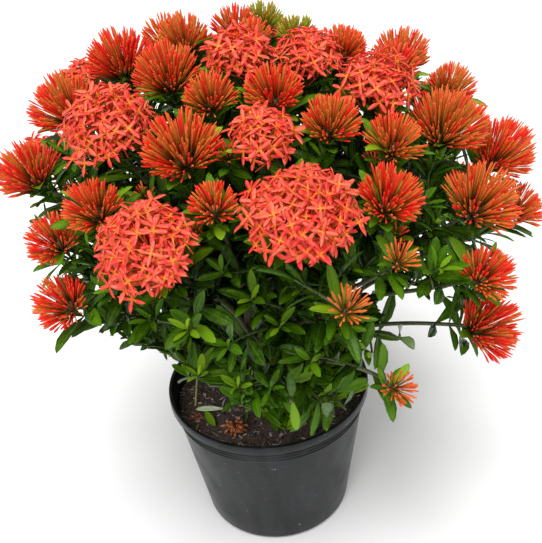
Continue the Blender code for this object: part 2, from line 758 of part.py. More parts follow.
def make_fallen_leaf(ground):
    bm = bmesh.new()
    spot = soil_spot(*FALLEN_LEAF_PIXEL)
    turn = math.radians(FALLEN_LEAF_TURN)
    along = Vector((math.cos(turn), math.sin(turn), 0))
    matrix = leaf_frame(spot - along * LEAF_LENGTH * 0.45, UP, along, math.radians(84), LEAF_LENGTH * 0.9)
    half, low = Vector((0, LEAF_THICK, 0)), Vector((0, 0, -LEAF_THICK))
    root = [bm.verts.new(matrix @ corner) for corner in (half, -half, low - half, low + half)]
    bm.faces.new(root)
    draw_leaf(bm, root, matrix)
    settle(bm, ground)
    add_object("fallen_leaf", bm, "fallen_leaf")


def make_fallen_bloom(ground):
    draw = random.Random(SEED)
    bm = bud_mesh("few", FALLEN_BLOOM_RADIUS, draw)
    spot = soil_spot(*FALLEN_BLOOM_PIXEL)
    bmesh.ops.transform(bm, verts=bm.verts, matrix=Matrix.Translation(spot) @ Matrix.Rotation(1.9, 4, "X"))
    settle(bm, ground)
    add_object("fallen_bloom", bm, "fallen_bloom")


def place_head(name, bm, kind, centre, axis):
    head = add_object(name, bm, kind)
    head.location = centre
    head.rotation_mode = "QUATERNION"
    head.rotation_quaternion = axis.to_track_quat("Z", "Y")


def main():
    clear_scene()
    heads = place_heads()
    canes, stems = plan_canes(heads)
    plan_leaves(heads, canes, stems)
    make_pot()
    ground = make_soil(canes)
    make_fallen_leaf(ground)
    make_fallen_bloom(ground)
    for k, cane in enumerate(canes):
        make_cane(k, cane)
    draw = random.Random(SEED)
    for number, (kind, centre, axis, radius) in enumerate(heads):
        build = open_mesh if kind == "open" else bud_mesh
        place_head(f"{kind}_head_{number + 1:02d}", build(kind, radius, draw), kind, centre, axis)


main()
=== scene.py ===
"""A dwarf ixora in full flower in its black nursery pot: every bud, floret, leaf and stem.

The plan of heads, canes and twigs repeats the one that the model's solids were built from, so
each visible piece stands where its solid does. Metres, +Z up, the photograph looks along +Y.
"""

import math
import random

import bmesh
import bpy
from mathutils import Euler, Matrix, Quaternion, Vector
from mathutils.bvhtree import BVHTree


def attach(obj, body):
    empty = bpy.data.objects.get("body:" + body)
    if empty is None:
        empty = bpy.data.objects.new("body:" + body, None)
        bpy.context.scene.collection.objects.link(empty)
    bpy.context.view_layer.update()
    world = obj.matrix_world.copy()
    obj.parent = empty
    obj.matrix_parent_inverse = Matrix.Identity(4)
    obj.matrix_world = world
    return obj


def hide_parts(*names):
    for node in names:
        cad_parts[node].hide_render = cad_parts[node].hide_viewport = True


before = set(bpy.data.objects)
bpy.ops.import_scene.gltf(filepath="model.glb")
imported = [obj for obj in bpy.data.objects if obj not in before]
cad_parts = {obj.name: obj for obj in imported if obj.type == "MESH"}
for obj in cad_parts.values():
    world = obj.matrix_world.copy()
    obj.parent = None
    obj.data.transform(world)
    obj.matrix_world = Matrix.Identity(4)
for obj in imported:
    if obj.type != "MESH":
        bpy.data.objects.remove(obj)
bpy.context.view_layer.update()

UP = Vector((0, 0, 1))
MM = 0.001
CM_IN_M = 100
SEED = 11
GOLDEN_TURN = math.pi * (3 - math.sqrt(5))

# Pot, as the solids have it
POT_HEIGHT = 0.152
POT_BASE_RADIUS = 0.0735
POT_RIM_RADIUS = 0.1000
POT_WALL = 0.0014
POT_LIP = 0.0022
POT_LIP_DEPTH = 0.009
POT_HEEL = 0.007
POT_STEP = 0.0009
POT_STEP_DEPTHS = (0.014, 0.018, 0.022)
POT_SIDES = 144
HEEL_INSET = 0.0008
HEEL_STEPS = 5
HEEL_ANGLE = 80
WALL_STEPS = 7
WALL_TOP_GAP = 0.004
BASE_HOLE = 0.020
FLOOR_RISE = 0.006
# A step ring: its foot below it, then its corners by share of the ring's depth and by rise
RING_FOOT = 0.0016
RING_BEAD = ((0.7, -0.0009), (1.0, -0.0003), (0.2, 0.0005))
# The lip's corners from the rim's radius: from its lower edge, then from its top
LIP_UNDER = ((-0.0006, -0.0003), (0, 0.0005))
LIP_TOP = ((0, -0.0012), (-0.0004, -0.0003), (-0.0012, 0))
# And from the wall's own radius: where the lip springs from it, and where it ends inside
LIP_FOOT = (0.0002, -0.0006)
LIP_INSIDE = ((0.0005, 0), (0, -0.0006))
DRAIN_COUNT = 6
DRAIN_RADIUS = 0.0055
DRAIN_RING = 0.055
DRAIN_SIDES = 24
DRAIN_CUT = 0.01
SHARP_EDGE = 40

# Soil, and the bits of bark and fibre on it
SOIL_LEVEL = 0.130
SOIL_CROWN = 0.006
SOIL_SIDES = 96
SOIL_RINGS = 34
SOIL_GAP = 0.0005
SOIL_FOOT_DEPTH = 0.02
SOIL_FOOT_GAP = 0.0008
SOIL_GRAIN = 0.0004
RIPPLE_PITCHES = (60, 90, 140, 220, 330, 480)
RIPPLE_SIZE = 0.055
CHIP_COUNT = 2400
CHIP_REACH = 0.091
CHIP_RISE = 0.0004
CHIP_TILTS = (0.4, 0.35)
FIBRE_EVERY = 7
FIBRE_LENGTH = (0.004, 0.016)
FIBRE_WIDTH = (0.07, 0.2)
FIBRE_DEPTH = 0.2
FIBRE_SHADES = (0.45, 1)
CHIP_LENGTH = (0.0016, 0.0062)
CHIP_WIDTH = (0.4, 1.2)
CHIP_SHADE = 1.3
CHIP_SPIN = (0, 6.3)

# Crown: the dome that the heads sit on
CROWN_CENTRE = Vector((0.018, 0.015, 0.335))
CROWN_RADII = Vector((0.222, 0.222, 0.158))
CROWN_TILT = Matrix.Rotation(math.radians(7), 3, "Y")
STEM_SPRING = Vector((0.0, 0.0, 0.10))

# The photograph's viewpoint
PHOTO_SIZE = (542, 543)
EYE = Vector((0.0, -0.7315, 0.756))
FOCAL_PX = 938
EYE_PITCH, EYE_YAW, EYE_ROLL = (math.radians(a) for a in (33.1, 1.0, -5.15))
SENSOR = 36

# Heads that the photograph shows: kind, pixels across, pixels down, radius in mm
SEEN_HEADS = (
    ("bud", 151, 18, 23), ("bud", 131, 58, 32), ("bud", 176, 43, 26), ("bud", 212, 38, 22),
    ("bud", 242, 44, 20), ("bud", 70, 107, 33), ("bud", 36, 158, 30), ("open", 92, 76, 22),
    ("open", 122, 150, 37), ("bud", 186, 80, 29), ("bud", 205, 136, 31), ("open", 262, 128, 25),
    ("bud", 236, 100, 23), ("green", 262, 22, 21), ("green", 299, 40, 20), ("open", 262, 66, 27),
    ("bud", 276, 92, 25), ("bud", 308, 110, 25), ("bud", 345, 122, 24), ("open", 330, 76, 27),
    ("open", 372, 92, 30), ("bud", 376, 60, 23), ("bud", 340, 52, 22), ("bud", 412, 59, 27),
    ("bud", 444, 80, 24), ("bud", 430, 124, 34), ("bud", 500, 156, 33), ("bud", 477, 193, 32),
    ("bud", 523, 206, 23), ("bud", 488, 262, 24), ("bud", 489, 329, 31), ("few", 397, 388, 18),
    ("few", 347, 309, 19), ("few", 392, 245, 17), ("bud", 360, 210, 27), ("open", 297, 203, 42),
    ("bud", 230, 198, 20), ("bud", 88, 212, 25), ("bud", 62, 243, 24), ("bud", 60, 293, 25),
    ("open", 152, 240, 37),
)
# Heads behind: kind, bearing and rise in degrees, radius in mm, how far out towards the crown
HIDDEN_HEADS = (
    ("bud", 60, 47, 25, 0.95), ("open", 92, 50, 26, 0.95), ("bud", 124, 46, 26, 0.95),
    ("bud", 33, 22, 30, 1.0), ("bud", 59, 21, 29, 1.0), ("open", 85, 19, 31, 1.0),
    ("bud", 111, 22, 30, 1.0), ("bud", 136, 20, 29, 1.0), ("open", 160, 2, 29, 1.0),
    ("bud", 26, -8, 28, 1.0), ("bud", 70, -13, 29, 1.0), ("bud", 112, -12, 29, 1.0),
)
SETTLE_ROUNDS = 60
SETTLE_SHARE = 0.35
HEAD_SPACING = 0.0008
STALK = 0.012
STALK_CLEARANCE = 0.009
HEAD_UNDERSIDE = 0.10
OUTWARD_PULL = 0.8
UPWARD_PULL = 0.25

# Canes, twigs and headless shoots, as the solids have them
CANE_COUNT = 3
CANE_RING = 0.040
CANE_RADIUS = 0.0046
TWIG_RADIUS = 0.0017
CANE_DEPTH = 0.030
CANE_RISE = 0.006
TRUNK_UPRIGHT = 0.07
LEAD_LIFT = 0.1
LEAD_HANDLE = 0.10
TWIG_FIRST_PLACE = 0.16
TWIG_PLACES = 0.52
TWIG_LIMITS = (0.04, 0.85)
TWIG_LIFTS = (0.45, 0.2, 0.7)
TWIG_HANDLES = (0.35, 0.5, 0.22)
TWIG_SHIFTS = (0, -0.06, 0.06, -0.12, 0.12, -0.2)
TWIG_LIFT_REACH = 0.35
SHOOTS_PER_CANE = 5
SHOOT_SPREAD = 112
SHOOT_REACH = (0.112, 0.142)
SHOOT_HEIGHT = (0.180, 0.240)
SHOOT_LIFTS = (0, 0.015, 0.03, -0.015)
SHOOT_PLACE = 0.05
SHOOT_SPRING = (0.01, 0.035)
SHOOT_ARRIVAL = (0.035, 0.012)
STEM_STEP = 0.006
STEM_PROBE_STEP = 0.005
STEM_TO_HEAD = 0.004
STEM_TO_STEM = 0.007
ARCH_STEPS = 60
LENGTH_STEPS = 24

# The solids' own leaves: their shape, their places on a twig, and what they keep clear of
LEAF_LENGTH = 0.043
LEAF_WIDTH = 0.0180
LEAF_DROOP = 0.20
LEAF_FOLD = 0.22
# A leaf's points by share of its length and of its half width
LEAF_SPOTS = ((0, 0), (0.14, 0), (0.28, 0), (0.35, 0.9), (0.35, -0.9), (0.5, 0), (0.52, 1), (0.52, -1),
              (0.7, 0.85), (0.7, -0.85), (0.72, 0), (0.87, 0.3), (1, 0))
LEAF_SIZES = (0.85, 1.12)
LEAF_LEANS = (58, 74)
LEAF_SHRINKS = (1, 0.8)
PAIR_STEPS = (0.011, 0.035)
SHOOT_STEPS = (0.004, 0.024, 0.046)
SMALL_HEAD = 0.023
STEP_SHARE = 0.8
STEP_ROOM = 0.008
TWIST_COUNT = 6
TWIST_STEP = 15
TRUNK_SIDES = 6
TWIG_SIDES = 4
LEAF_TO_HEAD = 0.003
LEAF_TO_STEM = 0.0062
LEAF_TO_LEAF = 0.0072
OWN_STEM_ROOM = 0.017
STEM_NEAR = 0.065
LEAF_NEAR = 0.075
# Leaves whose roots are this near may meet at the spots before this number
PAIR_NEAR = 0.028
PAIR_SPOTS = 4
MIDDLE_SPOT = 5
# Where the pot keeps leaves out: over the soil, round the rim and beside the wall
OVER_SOIL = (0.092, 0.005)
RIM_RADII = (0.084, 0.109)
RIM_HEIGHTS = (0.11, POT_HEIGHT + 0.004)
BESIDE_POT = (0.104, 0.12)

# Leaves in full: how they lie, how they vary, and how close they grow
LEAF_LIFT = 0.38
LEAF_SHRINK = 0.86
LEAF_BREADTH = (0.54, 0.86)
LEAF_DEPTH = (0.6, 1.3)
LEAF_PROBES = (0.45, 0.72, 1.0)
LEAF_CELL = 0.0085
LEAVES_PER_CELL = 2
LEAF_INTO_HEAD = 0.002
HEAD_NEAR = 0.014
PAIR_SIZES = (0.86, 1.12)
PAIR_TURN_STRAY = 0.2
PAIR_LEAN_STRAY = 7
FACING_LIFT = 0.8
FACING_STRAY = 0.15
AGE_STRAY = 0.10

# On the twigs: the solids' own leaves, then further pairs, and how many of those some heads' twigs have
OWN_LEAF_LIFT = 0.7
OWN_LEAF_FACING = 0.5
OWN_LEAF_AGES = (0.15, 0.7)
TWIG_STEPS = (0.022, 0.036, 0.050, 0.066, 0.084, 0.104, 0.126)
TWIG_LEAFY = 0.86
TWIG_TURN_STRAY = 0.6
TWIG_LEANS = (50, 70)
TWIG_LEAF = (0.027, 0.038)
TWIG_AGE = 0.35
TWIG_AGE_LENGTH = 0.16
LOWEST_PAIR = 0.03
SPARSE_TWIGS = {31: 2, 32: 1, 30: 3, 34: 3}

# In a collar under each head, at two levels
COLLAR_BACKS = (0.001, 0.013)
COLLAR_LENGTH = (0.030, 0.042)
COLLAR_LEANS = (66, 84)
COLLAR_HEAD = 0.026
COLLAR_AGE = 0.22
LEVEL_TURN = 0.7
LEVEL_LEAN = 12
LEVEL_AGE = 0.2

# On side shoots: pairs as (distance back from the tip, size), and the shoot from its nearest stem
SHOOT_PAIRS = ((0.0005, 0.44), (0.005, 0.62), (0.011, 0.80), (0.018, 0.92), (0.027, 1.0), (0.037, 1.0),
               (0.048, 0.96), (0.060, 0.92))
SHOOT_LEAF = (0.028, 0.037)
SHOOT_LEAFY = 0.85
SHOOT_TURN_STRAY = 0.3
SHOOT_LEAN = 34
SHOOT_LEAN_STEP = 5
SHOOT_AGE_STEP = 0.10
SHOOT_TWIG = 0.0012
TWIG_SWELL = 1.4
BARE_TIP = 0.6
SHOOT_PATH_STEP = 0.010
SHOOT_LENGTH = 0.062
SHOOT_DROP = 0.02
SHOOT_DROP_COST = 0.5
SHOOT_HANDLES = (0.25, 0.08, 0.40)
SHOOT_PROBES = (0.35, 0.5, 0.65, 0.85)
SHOOT_INTO_HEAD = 0.004
YOUNG_SHARE = 0.42
TIP_PROBES = (0.6, 1)

# The skirt of shoots round the pot's rim, from (reach, height) low to high, drawn in on one side
SKIRT_SHOOTS = 116
SKIRT_LOW = (0.070, 0.184)
SKIRT_HIGH = (0.165, 0.290)
SKIRT_CURVE = (0.75, 1.25)
SKIRT_CROWDING = 0.85
SKIRT_STRAYS = (0.007, 0.009)
SKIRT_TURN_STRAY = 0.1
SKIRT_NARROW = 0.30
SKIRT_NARROW_TURN = -0.2
SKIRT_RAISE = 0.9
SKIRT_AGES = (-0.1, 0.35)
# Low shoots at the front, by bearing, reach and height
FRONT_SHOOTS = 64
FRONT_TURNS = (-112, -14)
FRONT_REACH = (0.034, 0.092)
FRONT_HEIGHT = (0.158, 0.235)
FRONT_OUTWARD = 0.5
FRONT_AGES = (-0.25, 0.22)
# Shoots spread over the crown between the heads, and more inside it, by share of the crown's radius
CROWN_SHOOTS = 150
CROWN_OUT = (0.76, 0.94)
CROWN_AGE = 0.15
INNER_SHOOTS = 74
INNER_OUT = (0.36, 0.70)
INNER_AGE = 0.5
CROWN_FALL = 1.25
CROWN_RAISE = 0.5
CROWN_AGES = (-0.1, 0.25)
# More shoots in the dark middle of the plant: pixels across and down, and metres behind the pot's axis
MIDDLE_SHOOTS = 100
MIDDLE_ACROSS = (125, 400)
MIDDLE_DOWN = (225, 350)
MIDDLE_BACK = (-0.02, 0.08)
MIDDLE_LEAN = 0.8
MIDDLE_AGES = (0.6, 1.0)

# Open soil at the pot's front left, by limits on x + slant * y, on x, on y and on the distance from the
# axis, and the share of the leaves before it that stay
SOIL_WINDOW = (-0.050, 0.012, 0.024, 0.110)
SOIL_WINDOW_SLANT = 0.9
SOIL_WINDOW_LEAVES = 0.07
# Clear background that the photograph shows among the branches: pixels across, down, half width, half height
SEEN_GAPS = ((125, 394, 64, 42), (418, 324, 36, 17), (388, 344, 14, 22), (362, 288, 12, 9), (153, 290, 5, 5))

# Heads in full: how far below its middle a head's stalks start and how wide, as shares of its radius, how
# far round it opens, its buds and florets to the square centimetre of dome, and their sizes
HEAD_LIFT = 0.55
HEAD_SWELL = 1.06
HEAD_BASE = {"bud": 0.46, "green": 0.46, "few": 0.40, "open": 0.34}
HEAD_FLARE = {"bud": 0.24, "green": 0.24, "few": 0.16, "open": 0.30}
HEAD_SPREAD = {"bud": 96, "green": 90, "few": 74, "open": 88}
HEAD_SLOTS = {"bud": "bud_red", "green": "bud_green", "few": "bud_orange", "open": "petal_coral"}
BUD_DENSITY = {"bud": 3.6, "green": 3.6, "few": 1.6, "open": 1.0}
BUD_THICK = 0.00092
BUD_THICKNESSES = (0.82, 1.18)
BUD_REACH = (0.86, 1.0)
SHORT_BUD_REACH = (0.70, 0.90)
ORANGE_TONES = (0.60, 1.0)
RED_TONES = (0.0, 0.42)
ROOT_RISE = (0.10, 0.16)
ROOT_STRAY = (0.6, 1.2)
BUD_TUFTS = 11
TUFT_INSET = 8
TUFT_PULL = 0.30
TUFT_REACH = (0.90, 1.06)
TUFT_TONE_STRAY = 0.12
FLORET_DENSITY = 1.30
FLORET_SPREAD = 84
FLORET_STRAY = 0.10
FLORET_LEVELS = (0.70, 0.97)
FLORET_SPAN = 0.0112
FLORET_SIZES = (0.78, 1.08)
FLORET_TILT = 0.27
FLORET_DEPTH = (0.4, 2.0)
ANY_TURN = (0, 6)
# The knot of stalks under a head: (radius, rise) of its neck, then shares of its width
CORE_NECK = ((0.0012, -0.004), (0.0018, -0.001))
CORE_DOME = ((0.75, 0.5), (1.0, 0.95), (0.86, 1.35), (0.45, 1.6))
CORE_SIDES = 14
# Small unopened tufts at the ends of the crown's side shoots
YOUNG_BUDS = 18
YOUNG_LEVEL = 0.37
YOUNG_REACH = (0.012, 0.018)
YOUNG_LENGTHS = (0.6, 1.0)
YOUNG_THICKNESSES = (0.75, 1.0)
YOUNG_SPREAD = 62
YOUNG_STRAY = 0.10
YOUNG_FOOT = 0.001
# How orange a head's buds are, from 0 red to 1 olive orange, where the photograph tells
HEAD_SHADES = {1: 0.55, 2: 0.45, 3: 0.75, 4: 0.35, 5: 0.70, 6: 0.62, 7: 0.35, 10: 0.50, 11: 0.60, 13: 0.65,
               17: 0.55, 18: 0.62, 19: 0.68, 22: 0.60, 23: 0.50, 24: 0.78, 25: 0.80, 26: 0.70, 27: 0.50,
               28: 0.72, 29: 0.62, 30: 0.45, 31: 0.25, 32: 0.30, 33: 0.85, 34: 0.70, 35: 0.45, 37: 0.50,
               38: 0.45, 39: 0.40, 40: 0.35}
OTHER_SHADES = (0.25, 0.75)

# Dull surfaces: where the paler colour is full, how deep the relief is and how strong
DEEP_GRAIN = (0.75, 0.0015, 0.9)
FINE_GRAIN = (0.7, 0.0005, 0.6)

# What has dropped on the soil: how high above a place its ground is looked for, then each piece with its
# pixel of the photograph, its size and the gap that it keeps from the ground
DROP_HEIGHT = 0.1
FALLEN_LEAF_PIXEL = (207, 409)
FALLEN_LEAF_TURN = 172
FALLEN_LEAF_LEAN = 84
FALLEN_LEAF_SIZE = 0.9
FALLEN_LEAF_MIDDLE = 0.45
FALLEN_LEAF_STRETCH = (0.8, 0.6, 0.5)
FALLEN_LEAF_AGE = 0.5
FALLEN_LEAF_GAP = 0.0012
FALLEN_BLOOM_PIXEL = (236, 431)
FALLEN_BLOOM_RADIUS = 0.014
FALLEN_BLOOM_PETALS = 30
FALLEN_BLOOM_SPREAD = 84
FALLEN_BLOOM_STRAY = 0.12
FALLEN_BLOOM_TILT = 1.9
FALLEN_BLOOM_REACH = (0.6, 1.1)
FALLEN_BLOOM_THICK = 0.0016
FALLEN_BLOOM_GAP = 0.0008
SHED_GREEN_PIXEL = (209, 417)
SHED_GREEN_WAY = Vector((0.35, -0.94, 0))
SHED_GREEN_BACK = 0.012
SHED_GREEN_RAISE = 0.05
SHED_GREEN_ROLL = 0.4
SHED_GREEN_LENGTH = 0.026
SHED_GREEN_STRETCH = (1, 0.8, 0.5)
SHED_GREEN_AGE = 0.1
SHED_GREEN_GAP = 0.0010
SHED_PETAL_PIXEL = (198, 414)
SHED_PETAL_STRAYS = (3, 4)
DRIED_PETALS = 9
DRIED_PETAL_THICK = 0.0013
DRIED_PETAL_LENGTH = (0.005, 0.011)
DRIED_PETAL_RISE = 0.2
DRIED_PETAL_GAP = 0.0012
STRAW_PIXELS = ((195, 403), (205, 370))
STRAW_LEAN = 0.35
STRAW_RISES = (-0.004, 0.014, 0.026)
STRAW_RADII = (0.0011, 0.0008)
STEM_ROUND = 7

# Room and light: each sun as its name, the way it shines, how soft it is in degrees, and its strength
FLOOR_SIZE = 6
FLOOR_DROP = 0.0002
FLOOR_COLOUR = (0.84, 0.84, 0.84, 1)
ROOM_LIGHT = 0.58
SUNS = (("key", (0.06, 0.50, -1.5), 36, 3.0), ("fill", (0.35, 0.9, -0.60), 26, 0.9))


# The plan of the plant

def sight_line(across, down):
    """The direction in which the photograph sees one of its pixels."""
    look, right, raised = eye_axes()
    x = (across - PHOTO_SIZE[0] / 2) / FOCAL_PX
    y = (PHOTO_SIZE[1] / 2 - down) / FOCAL_PX
    return (look + x * right + y * raised).normalized()


def eye_axes():
    look = Vector((math.sin(EYE_YAW) * math.cos(EYE_PITCH),
                   math.cos(EYE_YAW) * math.cos(EYE_PITCH), -math.sin(EYE_PITCH)))
    level = look.cross(UP).normalized()
    right = Quaternion(look, -EYE_ROLL) @ level
    return look, right, right.cross(look)


def way_at(turn, rise=0):
    """The direction with a bearing and a height on the unit sphere."""
    level = math.sqrt(max(0, 1 - rise * rise))
    return Vector((level * math.cos(turn), level * math.sin(turn), rise))


def on_crown(unit, out):
    """The point and the outward normal of the crown in a direction of its own frame."""
    local = Vector(out * unit[i] * CROWN_RADII[i] for i in range(3))
    normal = Vector(unit[i] / CROWN_RADII[i] for i in range(3)).normalized()
    return CROWN_TILT @ local + CROWN_CENTRE, CROWN_TILT @ normal


def unit_of(point):
    local = CROWN_TILT.transposed() @ (point - CROWN_CENTRE)
    return Vector(local[i] / CROWN_RADII[i] for i in range(3)).normalized()


def seen_unit(across, down):
    """Where a sight line meets the crown, or passes nearest to it, as a direction in its frame."""
    ray = CROWN_TILT.transposed() @ sight_line(across, down)
    eye = CROWN_TILT.transposed() @ (EYE - CROWN_CENTRE)
    ray = Vector(ray[i] / CROWN_RADII[i] for i in range(3))
    eye = Vector(eye[i] / CROWN_RADII[i] for i in range(3))
    square, half = ray.dot(ray), ray.dot(eye)
    room = half * half - square * (eye.dot(eye) - 1)
    along = (-half - math.sqrt(max(room, 0))) / square
    return (eye + along * ray).normalized()


def place_heads():
    """Every head as (kind, centre, axis, radius), eased apart until their tips clear each other."""
    heads = []
    for kind, across, down, radius in SEEN_HEADS:
        heads.append([kind, seen_unit(across, down), radius * MM, 1.0])
    for kind, bearing, rise, radius, out in HIDDEN_HEADS:
        turn, lift = math.radians(bearing), math.radians(rise)
        unit = Vector((math.cos(turn) * math.cos(lift), math.sin(turn) * math.cos(lift), math.sin(lift)))
        heads.append([kind, unit, radius * MM, out])
    for _ in range(SETTLE_ROUNDS):
        points = [on_crown(unit, out)[0] for _, unit, _, out in heads]
        pushed = [point.copy() for point in points]
        for i, first in enumerate(points):
            for j in range(i + 1, len(points)):
                apart = first - points[j]
                short = heads[i][2] + heads[j][2] + HEAD_SPACING - apart.length
                if short > 0:
                    step = apart.normalized() * short * SETTLE_SHARE
                    pushed[i] += step
                    pushed[j] -= step
        for head, point in zip(heads, pushed):
            head[1] = unit_of(point)
    points = [on_crown(unit, out)[0] for _, unit, _, out in heads]
    placed = []
    for i, (kind, unit, radius, out) in enumerate(heads):
        point, normal = on_crown(unit, out)
        outward = (point - STEM_SPRING).normalized()
        room = min((point - points[j]).length * radius / (radius + heads[j][2])
                   for j in range(len(heads)) if j != i)
        axis = (normal + OUTWARD_PULL * outward + UPWARD_PULL * UP).normalized()
        placed.append((kind, point, axis, min(radius, room - HEAD_SPACING / 2)))
    return placed


def bezier(arch, t):
    a, b, c, d = arch
    s = 1 - t
    return s * s * s * a + 3 * s * s * t * b + 3 * s * t * t * c + t * t * t * d


def bezier_way(arch, t):
    a, b, c, d = arch
    s = 1 - t
    return (s * s * (b - a) + 2 * s * t * (c - b) + t * t * (d - c)).normalized()


def back_from_tip(arch, distances):
    """The places along a curve, in shares of its parameter, at distances back from its tip."""
    points = [bezier(arch, i / ARCH_STEPS) for i in range(ARCH_STEPS, -1, -1)]
    lengths = [(b - a).length for a, b in zip(points, points[1:])]
    found, run, i = [], 0.0, 0
    for distance in distances:
        while i < ARCH_STEPS and run + lengths[i] < distance:
            run += lengths[i]
            i += 1
        if i == ARCH_STEPS:
            break
        found.append(1 - (i + (distance - run) / lengths[i]) / ARCH_STEPS)
    return found


def curve_length(arch):
    points = [bezier(arch, i / LENGTH_STEPS) for i in range(LENGTH_STEPS + 1)]
    return sum((b - a).length for a, b in zip(points, points[1:]))


def along_curve(arch, step):
    count = max(2, round(curve_length(arch) / step))
    return [bezier(arch, i / count) for i in range(count + 1)]


def seat_of(head):
    return head[1] - head[2] * STALK


def group_by_bearing(heads):
    """The heads shared out round the pot, one run of bearings for each cane."""
    order = sorted(range(len(heads)), key=lambda i: math.atan2(seat_of(heads[i]).y, seat_of(heads[i]).x))
    share = len(order) / CANE_COUNT
    return [order[round(k * share):round((k + 1) * share)] for k in range(CANE_COUNT)]


def stem_is_clear(arch, own_head, cane, heads, stems):
    for point in along_curve(arch, STEM_PROBE_STEP):
        if any(i != own_head and inside_head(point, head, STEM_TO_HEAD) for i, head in enumerate(heads)):
            return False
        if any(owner != cane and (point - spot).length < STEM_TO_STEM for owner, spot in stems):
            return False
    return True


def twig_choices(trunk, place, seat, axis):
    """Arches for a twig from near a place on the trunk to a seat, the plainest first."""
    low, high = TWIG_LIMITS
    for lift in TWIG_LIFTS:
        for handle in TWIG_HANDLES:
            for shift in TWIG_SHIFTS:
                start = bezier(trunk, min(high, max(low, place + shift)))
                straight = seat - start
                way = UP * lift + straight.normalized() * (1 - lift)
                first = start + way * straight.length * TWIG_LIFT_REACH
                yield start, first, seat - axis * straight.length * handle, seat


def shoot_choices(trunk, bearing, n):
    """Arches for a cane's headless shoot, the plainest first."""
    turn = bearing + math.radians(SHOOT_SPREAD / SHOOTS_PER_CANE) * (n - (SHOOTS_PER_CANE - 1) / 2)
    away = way_at(turn)
    end = away * SHOOT_REACH[n % 2] + UP * SHOOT_HEIGHT[n % 2]
    start = bezier(trunk, SHOOT_PLACE + SHOOT_PLACE * n)
    for lift in SHOOT_LIFTS:
        tip = end + UP * lift
        first = start + UP * SHOOT_SPRING[1] + away * SHOOT_SPRING[0]
        yield start, first, tip - away * SHOOT_ARRIVAL[0] + UP * SHOOT_ARRIVAL[1], tip


def add_twig(arch, head, k, twigs, stems):
    """Adds a twig to its cane, and its points to those that others keep clear of."""
    twigs.append((arch, head))
    stems += [(k, point) for point in along_curve(arch, STEM_STEP)]


def plan_canes(heads):
    """Each cane as its foot, its trunk's arch and its twigs, each an (arch, head number or None)."""
    canes, stems = [], []
    for k, members in enumerate(group_by_bearing(heads)):
        seats = {i: seat_of(heads[i]) for i in members}
        middle = sum(seats.values(), Vector()) / len(seats)
        bearing = math.atan2(middle.y, middle.x)
        foot = way_at(bearing) * CANE_RING + UP * (SOIL_LEVEL - CANE_DEPTH + SOIL_CROWN)
        sprout = foot + UP * (CANE_DEPTH + CANE_RISE)
        lead = min(members, key=lambda i: (seats[i] - middle - UP * LEAD_LIFT).length)
        trunk = (sprout, sprout + UP * TRUNK_UPRIGHT, seats[lead] - heads[lead][2] * LEAD_HANDLE, seats[lead])
        twigs = []
        add_twig(trunk, lead, k, twigs, stems)
        others = sorted((i for i in members if i != lead), key=lambda i: seats[i].z)
        for n, i in enumerate(others):
            place = TWIG_FIRST_PLACE + TWIG_PLACES * (n + 0.5) / len(others)
            choices = list(twig_choices(trunk, place, seats[i], heads[i][2]))
            arch = next((c for c in choices if stem_is_clear(c, i, k, heads, stems)), choices[0])
            add_twig(arch, i, k, twigs, stems)
        for n in range(SHOOTS_PER_CANE):
            choices = shoot_choices(trunk, bearing, n)
            arch = next((c for c in choices if stem_is_clear(c, None, k, heads, stems)), None)
            if arch:
                add_twig(arch, None, k, twigs, stems)
        canes.append({"foot": foot, "twigs": twigs})
    return canes, stems


def leaf_turn(along, facing):
    """The turn of a leaf whose own +X runs to its tip and whose own +Z is its upper side."""
    along = along.normalized()
    upper = (facing - along * facing.dot(along)).normalized()
    return Matrix((along, upper.cross(along), upper)).transposed()


def leaf_frame(point, forward, side, lean, length):
    """Matrix of a leaf that leans from a stem's own way towards one side of it."""
    turn = leaf_turn(forward * math.cos(lean) + side * math.sin(lean), forward)
    return Matrix.Translation(point) @ turn.to_4x4() @ Matrix.Scale(length / LEAF_LENGTH, 4)


def blade_point(share, width):
    """A point of the blade's upper side, at a share of its length and of its half width."""
    half_width = LEAF_WIDTH / 2
    rise = LEAF_FOLD * half_width * abs(width) - LEAF_DROOP * LEAF_LENGTH * share * share
    return Vector((share * LEAF_LENGTH, width * half_width, rise))


def leaf_samples(matrix):
    return [matrix @ blade_point(share, width) for share, width in LEAF_SPOTS]


def inside_head(point, head, margin):
    away = point - head[1]
    rise = away.dot(head[2])
    if away.length < head[3] + margin and rise > -margin - HEAD_UNDERSIDE * head[3]:
        return True
    level = (away - head[2] * rise).length
    narrowing = 1 + rise / (STALK + margin)
    return -STALK - margin < rise <= 0 and level < margin + STALK_CLEARANCE * narrowing


def in_pot(point):
    radius = math.hypot(point.x, point.y)
    over_soil = radius < OVER_SOIL[0] and point.z < SOIL_LEVEL + SOIL_CROWN + OVER_SOIL[1]
    at_rim = RIM_RADII[0] < radius < RIM_RADII[1] and RIM_HEIGHTS[0] < point.z < RIM_HEIGHTS[1]
    beside = radius < BESIDE_POT[0] and point.z < BESIDE_POT[1]
    return over_soil or at_rim or beside


def leaf_is_clear(samples, cane, heads, others, stems):
    """Whether a leaf clears the pot, the heads, every other leaf, and the stems but its own."""
    root = samples[0]
    for point in samples[1:]:
        if in_pot(point) or any(inside_head(point, head, LEAF_TO_HEAD) for head in heads):
            return False
    for owner, spot in stems:
        away = (spot - root).length
        if away > STEM_NEAR or owner == cane and away < OWN_STEM_ROOM:
            continue
        if any((point - spot).length < LEAF_TO_STEM for point in samples[2:]):
            return False
    for leaf in others:
        if (leaf[MIDDLE_SPOT] - samples[MIDDLE_SPOT]).length > LEAF_NEAR:
            continue
        near = PAIR_SPOTS if (leaf[0] - root).length < PAIR_NEAR else 1
        if any((point - spot).length < LEAF_TO_LEAF for point in samples[near:] for spot in leaf[near:]):
            return False
    return True


